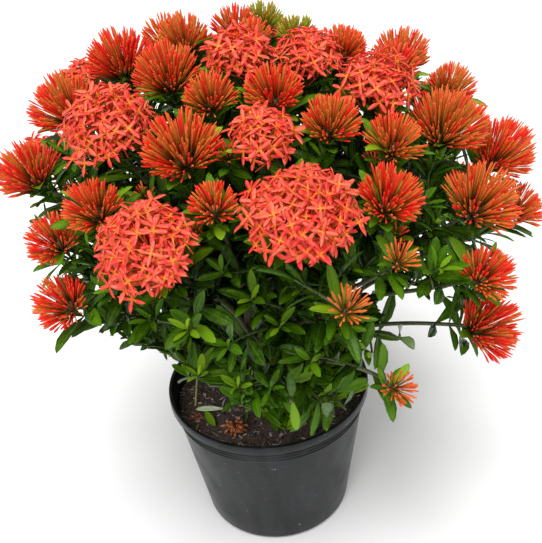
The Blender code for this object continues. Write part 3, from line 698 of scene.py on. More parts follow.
def twig_sides(arch, places, twist):
    """Frames at places along a curve, tip first: (point, forward, the way to the first corner)."""
    forward = bezier_way(arch, 1)
    side = Quaternion(forward, twist) @ forward.orthogonal().normalized()
    frames = []
    for place in places:
        ahead = bezier_way(arch, place)
        side = forward.rotation_difference(ahead) @ side
        forward = ahead
        frames.append((bezier(arch, place), forward, side))
    return frames


def clear_leaves(arch, steps, sides, twist, drawn, is_clear):
    """The leaves that a twig has room for at one twist, as {(pair, side): matrix}."""
    leaves = {}
    for n, (point, forward, side) in enumerate(twig_sides(arch, back_from_tip(arch, steps), twist)):
        for half in (0, 1):
            place = (n + half * sides // 2) % sides
            face = Quaternion(forward, 2 * math.pi * (place + 0.5) / sides) @ side
            size, lean = drawn[n, half]
            for shrink in LEAF_SHRINKS:
                matrix = leaf_frame(point, forward, face, lean, LEAF_LENGTH * size * shrink)
                if is_clear(leaf_samples(matrix)):
                    leaves[n, place] = matrix
                    break
    return leaves


def plan_leaves(heads, canes, stems):
    """Gives every twig the twist with room for most leaves, and its leaves, in crossing pairs."""
    draw = random.Random(SEED)
    taken = []
    for k, cane in enumerate(canes):
        cane["dressed"] = []
        for number, (arch, head) in enumerate(cane["twigs"]):
            steps = SHOOT_STEPS if head is None else PAIR_STEPS[:1 if heads[head][3] < SMALL_HEAD else 2]
            steps = [step for step in steps if step < STEP_SHARE * curve_length(arch) - STEP_ROOM]
            sides = TRUNK_SIDES if number == 0 else TWIG_SIDES
            drawn = {(n, half): (draw.uniform(*LEAF_SIZES), math.radians(draw.uniform(*LEAF_LEANS)))
                     for n in range(len(steps)) for half in (0, 1)}
            best, best_twist = {}, 0.0
            for turn in range(TWIST_COUNT):
                twist = math.radians(TWIST_STEP * turn)
                leaves = clear_leaves(arch, steps, sides, twist, drawn,
                                      lambda samples: leaf_is_clear(samples, k, heads, taken, stems))
                if len(leaves) > len(best):
                    best, best_twist = leaves, twist
                if len(best) == 2 * len(steps):
                    break
            taken += [leaf_samples(matrix) for matrix in best.values()]
            cane["dressed"].append((arch, head, best_twist, list(best.values())))


def lay_leaf(point, along, facing, length, age):
    """A leaf along one way with its upper side facing another: (place, turn, length, age)."""
    return point, leaf_turn(along, facing).to_quaternion(), length, max(0.0, min(1.0, age))


def leaf_points(leaf, shares):
    point, turn, length, _ = leaf
    return [point + turn @ Vector((share, 0, -LEAF_DROOP * share * share)) * length for share in shares]


def in_gap(point):
    """Whether the photograph would see a point in one of the plant's open gaps."""
    look, right, raised = eye_axes()
    away = point - EYE
    scale = FOCAL_PX / away.dot(look)
    across = PHOTO_SIZE[0] / 2 + scale * away.dot(right)
    down = PHOTO_SIZE[1] / 2 - scale * away.dot(raised)
    return any(((across - x) / wide) ** 2 + ((down - y) / high) ** 2 < 1 for x, y, wide, high in SEEN_GAPS)


def hides_soil(point):
    """Whether a point stands before the open soil at the front left of the pot, as the photograph sees it."""
    level = SOIL_LEVEL + SOIL_CROWN
    if point.z < level:
        return False
    spot = EYE + (point - EYE) * ((level - EYE.z) / (point.z - EYE.z))
    slant = spot.x + SOIL_WINDOW_SLANT * spot.y
    limited = (slant, spot.x, spot.y, math.hypot(spot.x, spot.y))
    return all(value < limit for value, limit in zip(limited, SOIL_WINDOW))


def is_shown(arch, head):
    """Whether a shoot is drawn: one without a head is left out where the photograph sees past it."""
    if head is not None:
        return True
    return not hides_soil(arch[3]) and not any(in_gap(bezier(arch, share)) for share in TIP_PROBES)


class Foliage:
    """Every leaf of the plant, kept clear of the pot and the heads and not too crowded."""

    def __init__(self, heads):
        self.heads = heads
        self.cells = {}
        self.leaves = []
        self.tufts = []
        self.draw = random.Random(SEED + 1)

    def add(self, cane, leaf, fixed=False):
        """Adds a leaf, unless the pot, a head, a gap or its neighbours leave no room for it."""
        spots = leaf_points(leaf, LEAF_PROBES)
        cell = tuple(round(value / LEAF_CELL) for value in spots[0])
        if any(hides_soil(spot) for spot in spots) and self.draw.random() > SOIL_WINDOW_LEAVES:
            return
        if not fixed:
            if any(in_gap(spot) for spot in spots):
                return
            if self.cells.get(cell, 0) >= LEAVES_PER_CELL or any(in_pot(spot) for spot in spots):
                return
            if any(inside_head(spot, head, -LEAF_INTO_HEAD) for spot in spots for head in self.heads
                   if (spot - head[1]).length < head[3] + HEAD_NEAR):
                return
        self.cells[cell] = self.cells.get(cell, 0) + 1
        self.leaves.append((cane, leaf))

    def pair(self, cane, point, forward, turn, lean, length, age):
        """Two leaves on opposite sides of a stem, raised a little towards the light."""
        side = forward.orthogonal().normalized()
        for half in (0, math.pi):
            away = Quaternion(forward, turn + half + self.draw.gauss(0, PAIR_TURN_STRAY)) @ side
            tilt = lean + math.radians(self.draw.gauss(0, PAIR_LEAN_STRAY))
            along = forward * math.cos(tilt) + away * math.sin(tilt) + UP * LEAF_LIFT
            facing = forward + UP * FACING_LIFT + away * self.draw.gauss(0, FACING_STRAY)
            size = length * self.draw.uniform(*PAIR_SIZES)
            self.add(cane, lay_leaf(point, along, facing, size, age + self.draw.gauss(0, AGE_STRAY)))


def dress_twigs(foliage, canes):
    """The solids' own leaves, a little lifted and slimmer, and further pairs down each twig."""
    draw = foliage.draw
    for k, cane in enumerate(canes):
        for arch, head, twist, leaves in cane["dressed"]:
            if not is_shown(arch, head):
                continue
            for matrix in leaves:
                place, turn, size = matrix.decompose()
                along = turn @ Vector((1, 0, 0)) + UP * LEAF_LIFT * OWN_LEAF_LIFT
                length = size.x * LEAF_LENGTH * LEAF_SHRINK
                facing = turn @ UP + UP * OWN_LEAF_FACING
                leaf = lay_leaf(place, along, facing, length, draw.uniform(*OWN_LEAF_AGES))
                foliage.add(k, leaf, fixed=True)
            length = curve_length(arch)
            steps = [step for step in TWIG_STEPS if step < TWIG_LEAFY * length]
            if head is not None:
                steps = steps[:SPARSE_TWIGS.get(head + 1, len(steps))]
            for n, (point, forward, _) in enumerate(twig_sides(arch, back_from_tip(arch, steps), twist)):
                if point.z > SOIL_LEVEL + LOWEST_PAIR:
                    foliage.pair(k, point, forward, math.pi / 2 * n + draw.uniform(0, TWIG_TURN_STRAY),
                                 math.radians(draw.uniform(*TWIG_LEANS)), draw.uniform(*TWIG_LEAF),
                                 TWIG_AGE + steps[n] / TWIG_AGE_LENGTH)


def dress_heads(foliage, heads, canes):
    """A collar of two crossing pairs of leaves at two levels under each head."""
    draw = foliage.draw
    owner = {head: k for k, cane in enumerate(canes) for _, head in cane["twigs"] if head is not None}
    for number, head in enumerate(heads):
        axis = seen_axis(head)
        base = head_base(head)
        for level, back in enumerate(COLLAR_BACKS):
            start = draw.uniform(0, math.pi)
            for cross in (0, math.pi / 2):
                foliage.pair(owner[number], base - axis * back, axis, start + cross + LEVEL_TURN * level,
                             math.radians(draw.uniform(*COLLAR_LEANS) - LEVEL_LEAN * level),
                             draw.uniform(*COLLAR_LENGTH) * min(1, head[3] / COLLAR_HEAD),
                             COLLAR_AGE + LEVEL_AGE * level)


def skirt_size(which, share, draw):
    """The skirt's reach (0) or height (1) at a share of the way from its lowest to its highest shoots."""
    low, high = SKIRT_LOW[which], SKIRT_HIGH[which]
    return low + (high - low) * share ** SKIRT_CURVE[which] + draw.gauss(0, SKIRT_STRAYS[which])


def shoot_tips(draw):
    """Where side shoots end: (tip, the way it points, how old its leaves are, may it bear buds)."""
    tips = []
    for i in range(SKIRT_SHOOTS):
        turn = GOLDEN_TURN * i + draw.gauss(0, SKIRT_TURN_STRAY)
        share = draw.random() ** SKIRT_CROWDING
        reach = skirt_size(0, share, draw)
        height = skirt_size(1, share, draw)
        reach *= 1 - SKIRT_NARROW * max(0, math.cos(turn - SKIRT_NARROW_TURN))
        away = way_at(turn)
        tips.append((away * reach + UP * height, away + UP * SKIRT_RAISE, draw.uniform(*SKIRT_AGES), False))
    for _ in range(FRONT_SHOOTS):
        turn = math.radians(draw.uniform(*FRONT_TURNS))
        away = way_at(turn)
        tip = away * draw.uniform(*FRONT_REACH) + UP * draw.uniform(*FRONT_HEIGHT)
        tips.append((tip, away * FRONT_OUTWARD + UP, draw.uniform(*FRONT_AGES), False))
    for count, outs, oldness in ((CROWN_SHOOTS, CROWN_OUT, CROWN_AGE), (INNER_SHOOTS, INNER_OUT, INNER_AGE)):
        for i in range(count):
            rise = 1 - CROWN_FALL * (i + 0.5) / count
            point, normal = on_crown(way_at(GOLDEN_TURN * i, rise), draw.uniform(*outs))
            age = oldness + draw.uniform(*CROWN_AGES)
            tips.append((point, normal + UP * CROWN_RAISE, age, count == CROWN_SHOOTS))
    for _ in range(MIDDLE_SHOOTS):
        ray = sight_line(draw.uniform(*MIDDLE_ACROSS), draw.uniform(*MIDDLE_DOWN))
        tip = EYE + ray * ((draw.uniform(*MIDDLE_BACK) - EYE.y) / ray.y)
        tips.append((tip, UP - ray * MIDDLE_LEAN, draw.uniform(*MIDDLE_AGES), False))
    return tips


def seen_past(point):
    """Whether the photograph sees soil or background past a point, where nothing may stand."""
    return hides_soil(point) or in_gap(point)


def shoot_cost(tip, spot):
    """How badly a place on a stem suits a shoot's tip: wrong distance away, or too high."""
    drop = max(0, spot.z - tip.z + SHOOT_DROP)
    return abs((tip - spot).length - SHOOT_LENGTH) + SHOOT_DROP_COST * drop


def grow_shoots(foliage, canes, stems):
    """Side shoots from the nearest stem below each tip, leafy towards their ends."""
    draw = foliage.draw
    out, lift, back = SHOOT_HANDLES
    for cane in canes:
        cane["shoots"] = []
    for tip, way, age, youth in shoot_tips(draw):
        way = way.normalized()
        if in_pot(tip) or seen_past(tip):
            continue
        if any(inside_head(tip, head, -SHOOT_INTO_HEAD) for head in foliage.heads):
            continue
        k, start = min(stems, key=lambda stem: shoot_cost(tip, stem[1]))
        span = (tip - start).length
        arch = (start, start + (tip - start) * out + UP * span * lift, tip - way * span * back, tip)
        if any(seen_past(bezier(arch, share)) for share in SHOOT_PROBES):
            continue
        canes[k]["shoots"].append(arch)
        if youth and tip.z > YOUNG_LEVEL and draw.random() < YOUNG_SHARE:
            foliage.tufts.append((tip, bezier_way(arch, 1)))
        steps = [step for step, _ in SHOOT_PAIRS if step < SHOOT_LEAFY * span]
        size = draw.uniform(*SHOOT_LEAF)
        for n, place in enumerate(back_from_tip(arch, steps)):
            foliage.pair(k, bezier(arch, place), bezier_way(arch, place),
                         math.pi / 2 * n + draw.uniform(0, SHOOT_TURN_STRAY),
                         math.radians(SHOOT_LEAN + SHOOT_LEAN_STEP * n), size * SHOOT_PAIRS[n][1],
                         age + SHOOT_AGE_STEP * n)


# Shader maths

class Wire:
    """A number in a material's tree: sums, products and powers of it add their own nodes."""

    def __init__(self, paint, socket):
        self.paint = paint
        self.socket = socket

    def math(self, operation, other, swapped=False):
        pair = (other, self) if swapped else (self, other)
        return self.paint.node("ShaderNodeMath", {"operation": operation}, dict(enumerate(pair)))

    def __add__(self, other):
        return self.math("ADD", other)

    def __radd__(self, other):
        return self.math("ADD", other)

    def __sub__(self, other):
        return self.math("SUBTRACT", other)

    def __rsub__(self, other):
        return self.math("SUBTRACT", other, swapped=True)

    def __mul__(self, other):
        return self.math("MULTIPLY", other)

    def __rmul__(self, other):
        return self.math("MULTIPLY", other)

    def __pow__(self, other):
        return self.math("POWER", other)

    def __rpow__(self, other):
        return self.math("POWER", other, swapped=True)


class Paint:
    """One material, with a method that adds any node and returns the wire from one of its outputs."""

    def __init__(self, name, roughness, **constants):
        self.material = bpy.data.materials.new(name)
        self.material.use_nodes = True
        self.tree = self.material.node_tree
        self.shader = self.tree.nodes["Principled BSDF"]
        self.shader.inputs["Roughness"].default_value = roughness
        for socket, value in constants.items():
            self.shader.inputs[socket.replace("_", " ")].default_value = value

    def node(self, kind, settings=None, inputs=None, out=0):
        node = self.tree.nodes.new(kind)
        for name, value in (settings or {}).items():
            setattr(node, name, value)
        for name, value in (inputs or {}).items():
            self.feed(node.inputs[name], value)
        return Wire(self, node.outputs[out])

    def feed(self, socket, value):
        if isinstance(value, Wire):
            self.tree.links.new(value.socket, socket)
        else:
            socket.default_value = value

    def show(self, socket, value):
        self.feed(self.shader.inputs[socket], value)

    def place(self):
        return self.node("ShaderNodeTexCoord", out="Object")

    def attribute(self, name):
        return self.node("ShaderNodeAttribute", {"attribute_name": name}, out="Fac")

    def noise(self, scale, detail, roughness=0.5, at=None):
        return self.node("ShaderNodeTexNoise", None,
                         {"Vector": at or self.place(), "Scale": scale, "Detail": detail,
                          "Roughness": roughness}, out="Fac")

    def blend(self, factor, first, second, blend_type="MIX"):
        """Mixes two colours, each an (r, g, b) or a wire."""
        inputs = {0: factor}
        for slot_number, value in ((6, first), (7, second)):
            inputs[slot_number] = value if isinstance(value, Wire) else (*value, 1)
        return self.node("ShaderNodeMix", {"data_type": "RGBA", "blend_type": blend_type}, inputs, out=2)

    def span(self, value, low, high):
        """Stretches a value from its range to 0 to 1, and holds it there."""
        return self.node("ShaderNodeMapRange", None, {"Value": value, "From Min": low, "From Max": high})

    def stretch(self, scale, shift=(0, 0, 0)):
        """The place on the piece, stretched and moved."""
        return self.node("ShaderNodeMapping", None,
                         {"Vector": self.place(), "Scale": scale, "Location": shift})

    def finish(self, colour, height, distance, strength):
        """Shows a colour and a small relief, and gives the material."""
        bump = {"Height": height, "Distance": distance, "Strength": strength}
        self.show("Base Color", colour)
        self.show("Normal", self.node("ShaderNodeBump", None, bump))
        return self.material


# Materials

def pot_paint():
    """Black moulded plastic, satin, with a film of dust and faint scuffs."""
    paint = Paint("pot_plastic", 0.40, Specular_IOR_Level=0.24)
    dust = paint.span(paint.noise(28, 5), 0.48, 0.78)
    scuffs = paint.span(paint.noise(1.0, 3, at=paint.stretch((60, 60, 500))), 0.62, 0.75)
    specks = paint.span(paint.noise(210, 2, 0.4), 0.74, 0.80)
    bands = paint.span(paint.noise(1.0, 3, at=paint.stretch((70, 70, 9))), 0.35, 0.75)
    colour = paint.blend(dust * 0.35 + bands * 0.5, (0.0028, 0.0034, 0.0038), (0.026, 0.028, 0.031))
    colour = paint.blend(specks * 0.6, colour, (0.35, 0.35, 0.34))
    colour = paint.blend(scuffs * 0.25, colour, (0.13, 0.13, 0.13))
    paint.show("Roughness", 0.34 + dust * 0.2 + scuffs * 0.12)
    return paint.finish(colour, paint.noise(900, 2) * 0.4 + scuffs * 0.6, 0.0001, 0.5)


def soil_paint():
    """Dark moist potting mix: peat, fibre and paler grains."""
    paint = Paint("potting_mix", 0.95)
    grain = paint.noise(560, 6, 0.75)
    clump = paint.noise(70, 4)
    colour = paint.blend(paint.span(grain, 0.38, 0.66), (0.012, 0.008, 0.008), (0.26, 0.180, 0.155))
    colour = paint.blend(paint.span(clump, 0.55, 0.75) * 0.4, colour, (0.20, 0.14, 0.11))
    return paint.finish(colour, grain, 0.0016, 0.9)


def chip_paint():
    """Bits of bark, fibre and husk among the soil, each its own shade."""
    paint = Paint("bark_bits", 0.9)
    tone = paint.attribute("tone")
    colour = paint.blend(paint.span(tone, 0.0, 0.55), (0.014, 0.009, 0.008), (0.135, 0.085, 0.062))
    colour = paint.blend(paint.span(tone, 0.62, 0.95), colour, (0.72, 0.60, 0.53))
    return paint.finish(colour, paint.noise(700, 4), 0.0008, 0.8)


def leaf_paint():
    """Glossy leaves, from yellow-green at the tips of shoots to deep green on older ones, and darker still
    towards the middle of the crown, where painted shade stands in for the shade that the plant casts on its
    own inner leaves.
    """
    paint = Paint("leaf", 0.30, Specular_IOR_Level=0.13)
    age = paint.attribute("tone")
    across = paint.attribute("across")
    share = paint.attribute("share")
    colour = paint.blend(paint.span(age, 0.0, 0.32), (0.260, 0.440, 0.012), (0.064, 0.175, 0.003))
    colour = paint.blend(paint.span(age, 0.28, 0.80), colour, (0.011, 0.046, 0.0015))
    mottle = paint.span(paint.noise(170, 4), 0.42, 0.72)
    colour = paint.blend(mottle * 0.35, colour, (0.120, 0.225, 0.008))
    rib = paint.span(across, 0.13, 0.0)
    veins = paint.node("ShaderNodeMath", {"operation": "SINE"}, {0: share * 60 + across * -9}) * 0.5 + 0.5
    colour = paint.blend(rib * 0.30 + veins ** 6 * 0.06, colour, (0.20, 0.36, 0.030))
    # Painted shade: the colour is multiplied darker (dark) the nearer a leaf lies to the crown's middle, as
    # if shaded by the leaves around it
    scale = tuple(1 / radius for radius in CROWN_RADII)
    shift = tuple(-middle / radius for middle, radius in zip(CROWN_CENTRE, CROWN_RADII))
    within = paint.stretch(scale, shift)
    depth = paint.node("ShaderNodeVectorMath", {"operation": "LENGTH"}, {0: within}, out="Value")
    shade = paint.span(depth, 0.92, 0.50)
    dark = paint.blend(1.0, colour, (0.20, 0.22, 0.16), "MULTIPLY")
    paint.show("Roughness", 0.14 + mottle * 0.12 + paint.noise(60, 3) * 0.14)
    height = veins * 0.22 - rib * 0.5 + paint.noise(520, 2) * 0.2
    # Blends in the painted shade by the leaf's depth in the crown
    return paint.finish(paint.blend(shade * 0.85, colour, dark), height, 0.0006, 0.6)


def stem_paint():
    """Young green bark on the twigs, brown and finely cracked on the canes."""
    paint = Paint("stem", 0.6)
    age = paint.attribute("age")
    crack = paint.noise(260, 5, 0.65)
    colour = paint.blend(paint.span(age, 0.1, 0.8), (0.055, 0.105, 0.020), (0.075, 0.050, 0.030))
    colour = paint.blend(paint.span(crack, 0.5, 0.8) * 0.6, colour, (0.20, 0.16, 0.10))
    return paint.finish(colour, crack, 0.0006, 0.7)


def bud_paint(name, throat, red, orange):
    """A bud's tube, dark and greenish at its root, and red or orange by its own tone up to its tip."""
    paint = Paint(name, 0.38, Specular_IOR_Level=0.28)
    along = paint.attribute("along")
    tone = paint.attribute("tone")
    body = paint.blend(paint.span(tone, 0.30, 0.80), red, orange)
    colour = paint.blend(paint.span(along, 0.10, 0.58), throat, body)
    colour = paint.blend(paint.span(along, 0.76, 0.96) * 0.5, colour, red)
    flush = paint.span(paint.noise(150, 2), 0.45, 0.70)
    return paint.finish(paint.blend(flush * 0.22, colour, orange), paint.noise(520, 2), 0.0003, 0.4)


def petal_paint():
    """Coral petals, some paler than others, with a small orange throat."""
    paint = Paint("petal", 0.46, Specular_IOR_Level=0.3)
    along = paint.attribute("along")
    tone = paint.attribute("tone")
    colour = paint.blend(tone, (0.82, 0.018, 0.016), (1.0, 0.135, 0.075))
    colour = paint.blend(paint.span(along, 0.50, 1.0) * 0.40, colour, (1.0, 0.19, 0.115))
    colour = paint.blend(paint.span(along, 0.34, 0.04) * 0.9, colour, (1.0, 0.330, 0.025))
    streak = paint.noise(420, 3)
    colour = paint.blend(paint.span(streak, 0.5, 0.8) * 0.3, colour, (1.0, 0.27, 0.12))
    return paint.finish(colour, streak, 0.0003, 0.4)


def grain_paint(name, first, second, scale, high, depth, strength):
    """A dull surface whose two colours and small relief follow one grain."""
    paint = Paint(name, 0.7)
    grain = paint.noise(scale, 4)
    return paint.finish(paint.blend(paint.span(grain, 0.35, high), first, second), grain, depth, strength)


# Small shapes that are repeated

LEAF_OUTLINE = ((0.0, 0.05), (0.20, 0.46), (0.46, 0.95), (0.74, 0.92), (0.92, 0.50))
LEAF_ROWS = (-1, -0.5, 0, 0.5, 1)
LEAF_WAVE = 0.012
LEAF_WAVES = 9
LEAF_CUP = 1.3
LEAF_KEEL = 0.022
BUD_STATIONS = ((0.50, 0.0), (0.50, 0.56), (1.0, 0.84), (0.66, 0.94))
BUD_SIDES = 4
PETAL_STATIONS = ((0.07, 0.36, 0.00), (0.30, 0.86, 0.05), (0.55, 1.0, 0.08), (0.80, 0.60, 0.09))
PETAL_TIP = (1.0, 0, 0.07)
PETAL_COUNT = 4
PETAL_BREADTH = 0.148
PETAL_CUP = 0.05
PETAL_KEEL = 0.035
THROAT_STATIONS = ((0.085, 0.02), (0.055, -0.22), (0.050, -1.5))
THROAT_SHARES = (0.0, 0.0, 0.5)
THROAT_PIT = (0, 0, -0.06)
STAMEN_FOOT = ((0.05, -0.022, 0.02), (0.05, 0.022, 0.02), (0.09, 0.0, 0.03))
STAMEN_TIP = (0.27, 0.0, 0.15)
STAMEN_SHARE = 0.2
CHIP_SHAPE = (0.45, 0.22)
CHIP_ROUGHNESS = (0.75, 1.2)


def finish_mesh(bm, name, smooth=True):
    """A mesh from bmesh, which it frees."""
    mesh = bpy.data.meshes.new(name)
    bm.to_mesh(mesh)
    bm.free()
    if smooth:
        mesh.shade_smooth()
    return mesh


def add_object(name, data):
    obj = bpy.data.objects.new(name, data)
    bpy.context.scene.collection.objects.link(obj)
    return obj


def bmesh_object(bm, name, smooth=True):
    return add_object(name, finish_mesh(bm, name, smooth))


def lathe_points(stations, sides):
    """Rings of points, each from its (radius, height)."""
    return [[Vector((r * math.cos(2 * math.pi * i / sides), r * math.sin(2 * math.pi * i / sides), z))
             for i in range(sides)] for r, z in stations]


def add_rings(bm, stations, sides):
    return [[bm.verts.new(point) for point in ring] for ring in lathe_points(stations, sides)]


def join_rings(bm, rings):
    """Faces between each ring of corners and the next."""
    for lower, upper in zip(rings, rings[1:]):
        for i in range(len(lower)):
            j = (i + 1) % len(lower)
            bm.faces.new((lower[i], lower[j], upper[j], upper[i]))


def close_ring(bm, ring, tip):
    """Faces from a ring of corners to one corner."""
    for i in range(len(ring)):
        bm.faces.new((ring[i], ring[(i + 1) % len(ring)], tip))


def lathe(bm, profile, sides):
    """A body turned from a profile of (radius, height), flat at both ends."""
    rings = add_rings(bm, profile, sides)
    join_rings(bm, rings)
    bm.faces.new(rings[0][::-1])
    bm.faces.new(rings[-1])


def fill_blade(bm, rows, tip, flip=False):
    """Faces between the rows of one side of a blade, and from its last row to its tip."""
    faces = [(near[i], far[i], far[i + 1], near[i + 1]) for near, far in zip(rows, rows[1:])
             for i in range(len(near) - 1)]
    faces += [(rows[-1][i], tip, rows[-1][i + 1]) for i in range(len(rows[-1]) - 1)]
    for corners in faces:
        bm.faces.new(corners[::-1] if flip else corners)


def corner_at(bm, layer, point, value):
    """A corner with its own value of an attribute."""
    corner = bm.verts.new(point)
    corner[layer] = value
    return corner


def leaf_shape():
    """One leaf, 1 long: a blunt elliptic blade, folded and arched down, its rim a little wavy."""
    bm = bmesh.new()
    across = bm.verts.layers.float.new("across")
    share_of = bm.verts.layers.float.new("share")
    width = LEAF_WIDTH / LEAF_LENGTH / 2
    upper, lower = [], []
    for share, breadth in LEAF_OUTLINE:
        row = []
        for step in LEAF_ROWS:
            wave = LEAF_WAVE * math.sin(LEAF_WAVES * share * math.pi) * abs(step) ** 3 * breadth
            rise = LEAF_FOLD * width * breadth * abs(step) ** LEAF_CUP - LEAF_DROOP * share * share
            corner = corner_at(bm, share_of, (share, width * breadth * step, rise + wave), share)
            corner[across] = abs(step)
            row.append(corner)
        keel = corner_at(bm, share_of, (share, 0, -LEAF_DROOP * share * share - LEAF_KEEL), share)
        upper.append(row)
        lower.append([row[0], keel, row[-1]])
    tip = corner_at(bm, share_of, (1.0, 0, -LEAF_DROOP), 1.0)
    fill_blade(bm, upper, tip)
    fill_blade(bm, lower, tip)
    bm.faces.new((*upper[0], lower[0][1]))
    bmesh.ops.recalc_face_normals(bm, faces=bm.faces)
    return bmesh_object(bm, "leaf_shape")


def bud_shape():
    """One bud, 1 long and 1 in radius at its swelling: a slim tube with a pointed tip."""
    bm = bmesh.new()
    along = bm.verts.layers.float.new("along")
    rings = add_rings(bm, BUD_STATIONS, BUD_SIDES)
    for (_, height), ring in zip(BUD_STATIONS, rings):
        for corner in ring:
            corner[along] = height
    join_rings(bm, rings)
    close_ring(bm, rings[-1], corner_at(bm, along, UP, 1.0))
    bm.faces.new(rings[0][::-1])
    return bmesh_object(bm, "bud_shape")


def add_petal(bm, along, turn):
    upper, lower = [], []
    for share, breadth, rise in PETAL_STATIONS:
        half = PETAL_BREADTH * breadth
        row = [corner_at(bm, along, turn @ Vector((share, side * half, rise + PETAL_CUP * abs(side))), share)
               for side in (-1, 0, 1)]
        keel = corner_at(bm, along, turn @ Vector((share, 0, rise - PETAL_KEEL)), share)
        upper.append(row)
        lower.append([row[0], keel, row[2]])
    tip = corner_at(bm, along, turn @ Vector(PETAL_TIP), 1.0)
    fill_blade(bm, upper, tip, flip=True)
    fill_blade(bm, lower, tip)


def floret_shape():
    """One open floret, its petals 1 long, facing +Z from the end of a slim tube."""
    bm = bmesh.new()
    along = bm.verts.layers.float.new("along")
    quarters = [math.pi / 2 * i for i in range(PETAL_COUNT)]
    for quarter in quarters:
        add_petal(bm, along, Matrix.Rotation(quarter, 3, "Z"))
    rings = add_rings(bm, THROAT_STATIONS, BUD_SIDES)
    for share, ring in zip(THROAT_SHARES, rings):
        for corner in ring:
            corner[along] = share
    for upper, lower in zip(rings, rings[1:]):
        join_rings(bm, (lower, upper))
    close_ring(bm, rings[0], corner_at(bm, along, THROAT_PIT, 0.0))
    for quarter in quarters:
        way = Matrix.Rotation(quarter + math.pi / 4, 3, "Z")
        foot = [corner_at(bm, along, way @ Vector(point), STAMEN_SHARE) for point in STAMEN_FOOT]
        close_ring(bm, foot, corner_at(bm, along, way @ Vector(STAMEN_TIP), STAMEN_SHARE))
    return bmesh_object(bm, "floret_shape")


def chip_shape():
    """A rough chip, 1 long."""
    bm = bmesh.new()
    draw = random.Random(SEED)
    bmesh.ops.create_icosphere(bm, subdivisions=1, radius=0.5)
    for corner in bm.verts:
        x, y, z = corner.co
        corner.co = Vector((x, y * CHIP_SHAPE[0], z * CHIP_SHAPE[1])) * draw.uniform(*CHIP_ROUGHNESS)
    return bmesh_object(bm, "chip_shape", smooth=False)


# Geometry node trees

def start_tree(name, inputs, output):
    """A tree with its inputs' identifiers by name, and its first and last nodes."""
    tree = bpy.data.node_groups.new(name, "GeometryNodeTree")
    names = {key: tree.interface.new_socket(key, in_out="INPUT", socket_type=kind).identifier
             for key, kind in inputs.items()}
    tree.interface.new_socket(output, in_out="OUTPUT", socket_type="NodeSocketGeometry")
    return tree, names, tree.nodes.new("NodeGroupInput"), tree.nodes.new("NodeGroupOutput")


def read_attribute(tree, name, kind):
    node = tree.nodes.new("GeometryNodeInputNamedAttribute")
    node.data_type = kind
    node.inputs["Name"].default_value = name
    return node


def link_nodes(tree, rows):
    """Links each row's node and output to the node and input that it feeds."""
    for giver, output, taker, entry in rows:
        tree.links.new(giver.outputs[output], taker.inputs[entry])


def sow_tree():
    """Sets a shape on every point, turned, stretched and toned by the point's own attributes."""
    inputs = {"Points": "NodeSocketGeometry", "Shape": "NodeSocketObject", "Finish": "NodeSocketMaterial"}
    tree, names, start, end = start_tree("sow", inputs, "Grown")
    turn = read_attribute(tree, "turn", "FLOAT_VECTOR")
    stretch = read_attribute(tree, "stretch", "FLOAT_VECTOR")
    info = tree.nodes.new("GeometryNodeObjectInfo")
    to_turn = tree.nodes.new("FunctionNodeEulerToRotation")
    sow = tree.nodes.new("GeometryNodeInstanceOnPoints")
    real = tree.nodes.new("GeometryNodeRealizeInstances")
    finish = tree.nodes.new("GeometryNodeSetMaterial")
    link_nodes(tree, (
        (start, "Shape", info, "Object"), (start, "Points", sow, "Points"),
        (info, "Geometry", sow, "Instance"), (turn, "Attribute", to_turn, "Euler"),
        (to_turn, "Rotation", sow, "Rotation"), (stretch, "Attribute", sow, "Scale"),
        (sow, "Instances", real, "Geometry"), (real, "Geometry", finish, "Geometry"),
        (start, "Finish", finish, "Material"), (finish, "Geometry", end, "Grown")))
    return tree, names


def tube_tree():
    """Turns a path of edges into a round tube, as thick as each point's own radius."""
    inputs = {"Path": "NodeSocketGeometry", "Sides": "NodeSocketInt", "Finish": "NodeSocketMaterial"}
    tree, names, start, end = start_tree("tube", inputs, "Tube")
    thick = read_attribute(tree, "thick", "FLOAT")
    to_curve = tree.nodes.new("GeometryNodeMeshToCurve")
    ring = tree.nodes.new("GeometryNodeCurvePrimitiveCircle")
    ring.inputs["Radius"].default_value = 1.0
    skin = tree.nodes.new("GeometryNodeCurveToMesh")
    skin.inputs["Fill Caps"].default_value = True
    real = tree.nodes.new("GeometryNodeRealizeInstances")
    finish = tree.nodes.new("GeometryNodeSetMaterial")
    link_nodes(tree, (
        (start, "Path", to_curve, "Mesh"), (start, "Sides", ring, "Resolution"),
        (to_curve, "Curve", skin, "Curve"), (ring, "Curve", skin, "Profile Curve"),
        (thick, "Attribute", skin, "Scale"), (skin, "Mesh", real, "Geometry"),
        (real, "Geometry", finish, "Geometry"), (start, "Finish", finish, "Material"),
        (finish, "Geometry", end, "Tube")))
    return tree, names


def points_mesh(points):
    """A mesh of loose points, each (place, turn, stretch, tone)."""
    mesh = bpy.data.meshes.new("points")
    mesh.from_pydata([place for place, _, _, _ in points], [], [])
    for key, column in (("turn", 1), ("stretch", 2)):
        attribute = mesh.attributes.new(key, "FLOAT_VECTOR", "POINT")
        attribute.data.foreach_set("vector", [value for point in points for value in point[column]])
    set_values(mesh, "tone", [tone for _, _, _, tone in points])
    return mesh


def stems_mesh(paths):
    """Edges along every path with a radius and an age at each point."""
    mesh = bpy.data.meshes.new("stem_paths")
    places, edges, thick, age = [], [], [], []
    for path, radii in paths:
        for i, point in enumerate(path):
            if i:
                edges.append((len(places) - 1, len(places)))
            places.append(point)
            share = i / (len(path) - 1)
            thick.append(radii[0] + (radii[1] - radii[0]) * share)
            age.append(min(1.0, thick[-1] / CANE_RADIUS))
    mesh.from_pydata(places, edges, [])
    set_values(mesh, "thick", thick)
    set_values(mesh, "age", age)
    return mesh


def set_values(mesh, name, values):
    attribute = mesh.attributes.new(name, "FLOAT", "POINT")
    attribute.data.foreach_set("value", values)


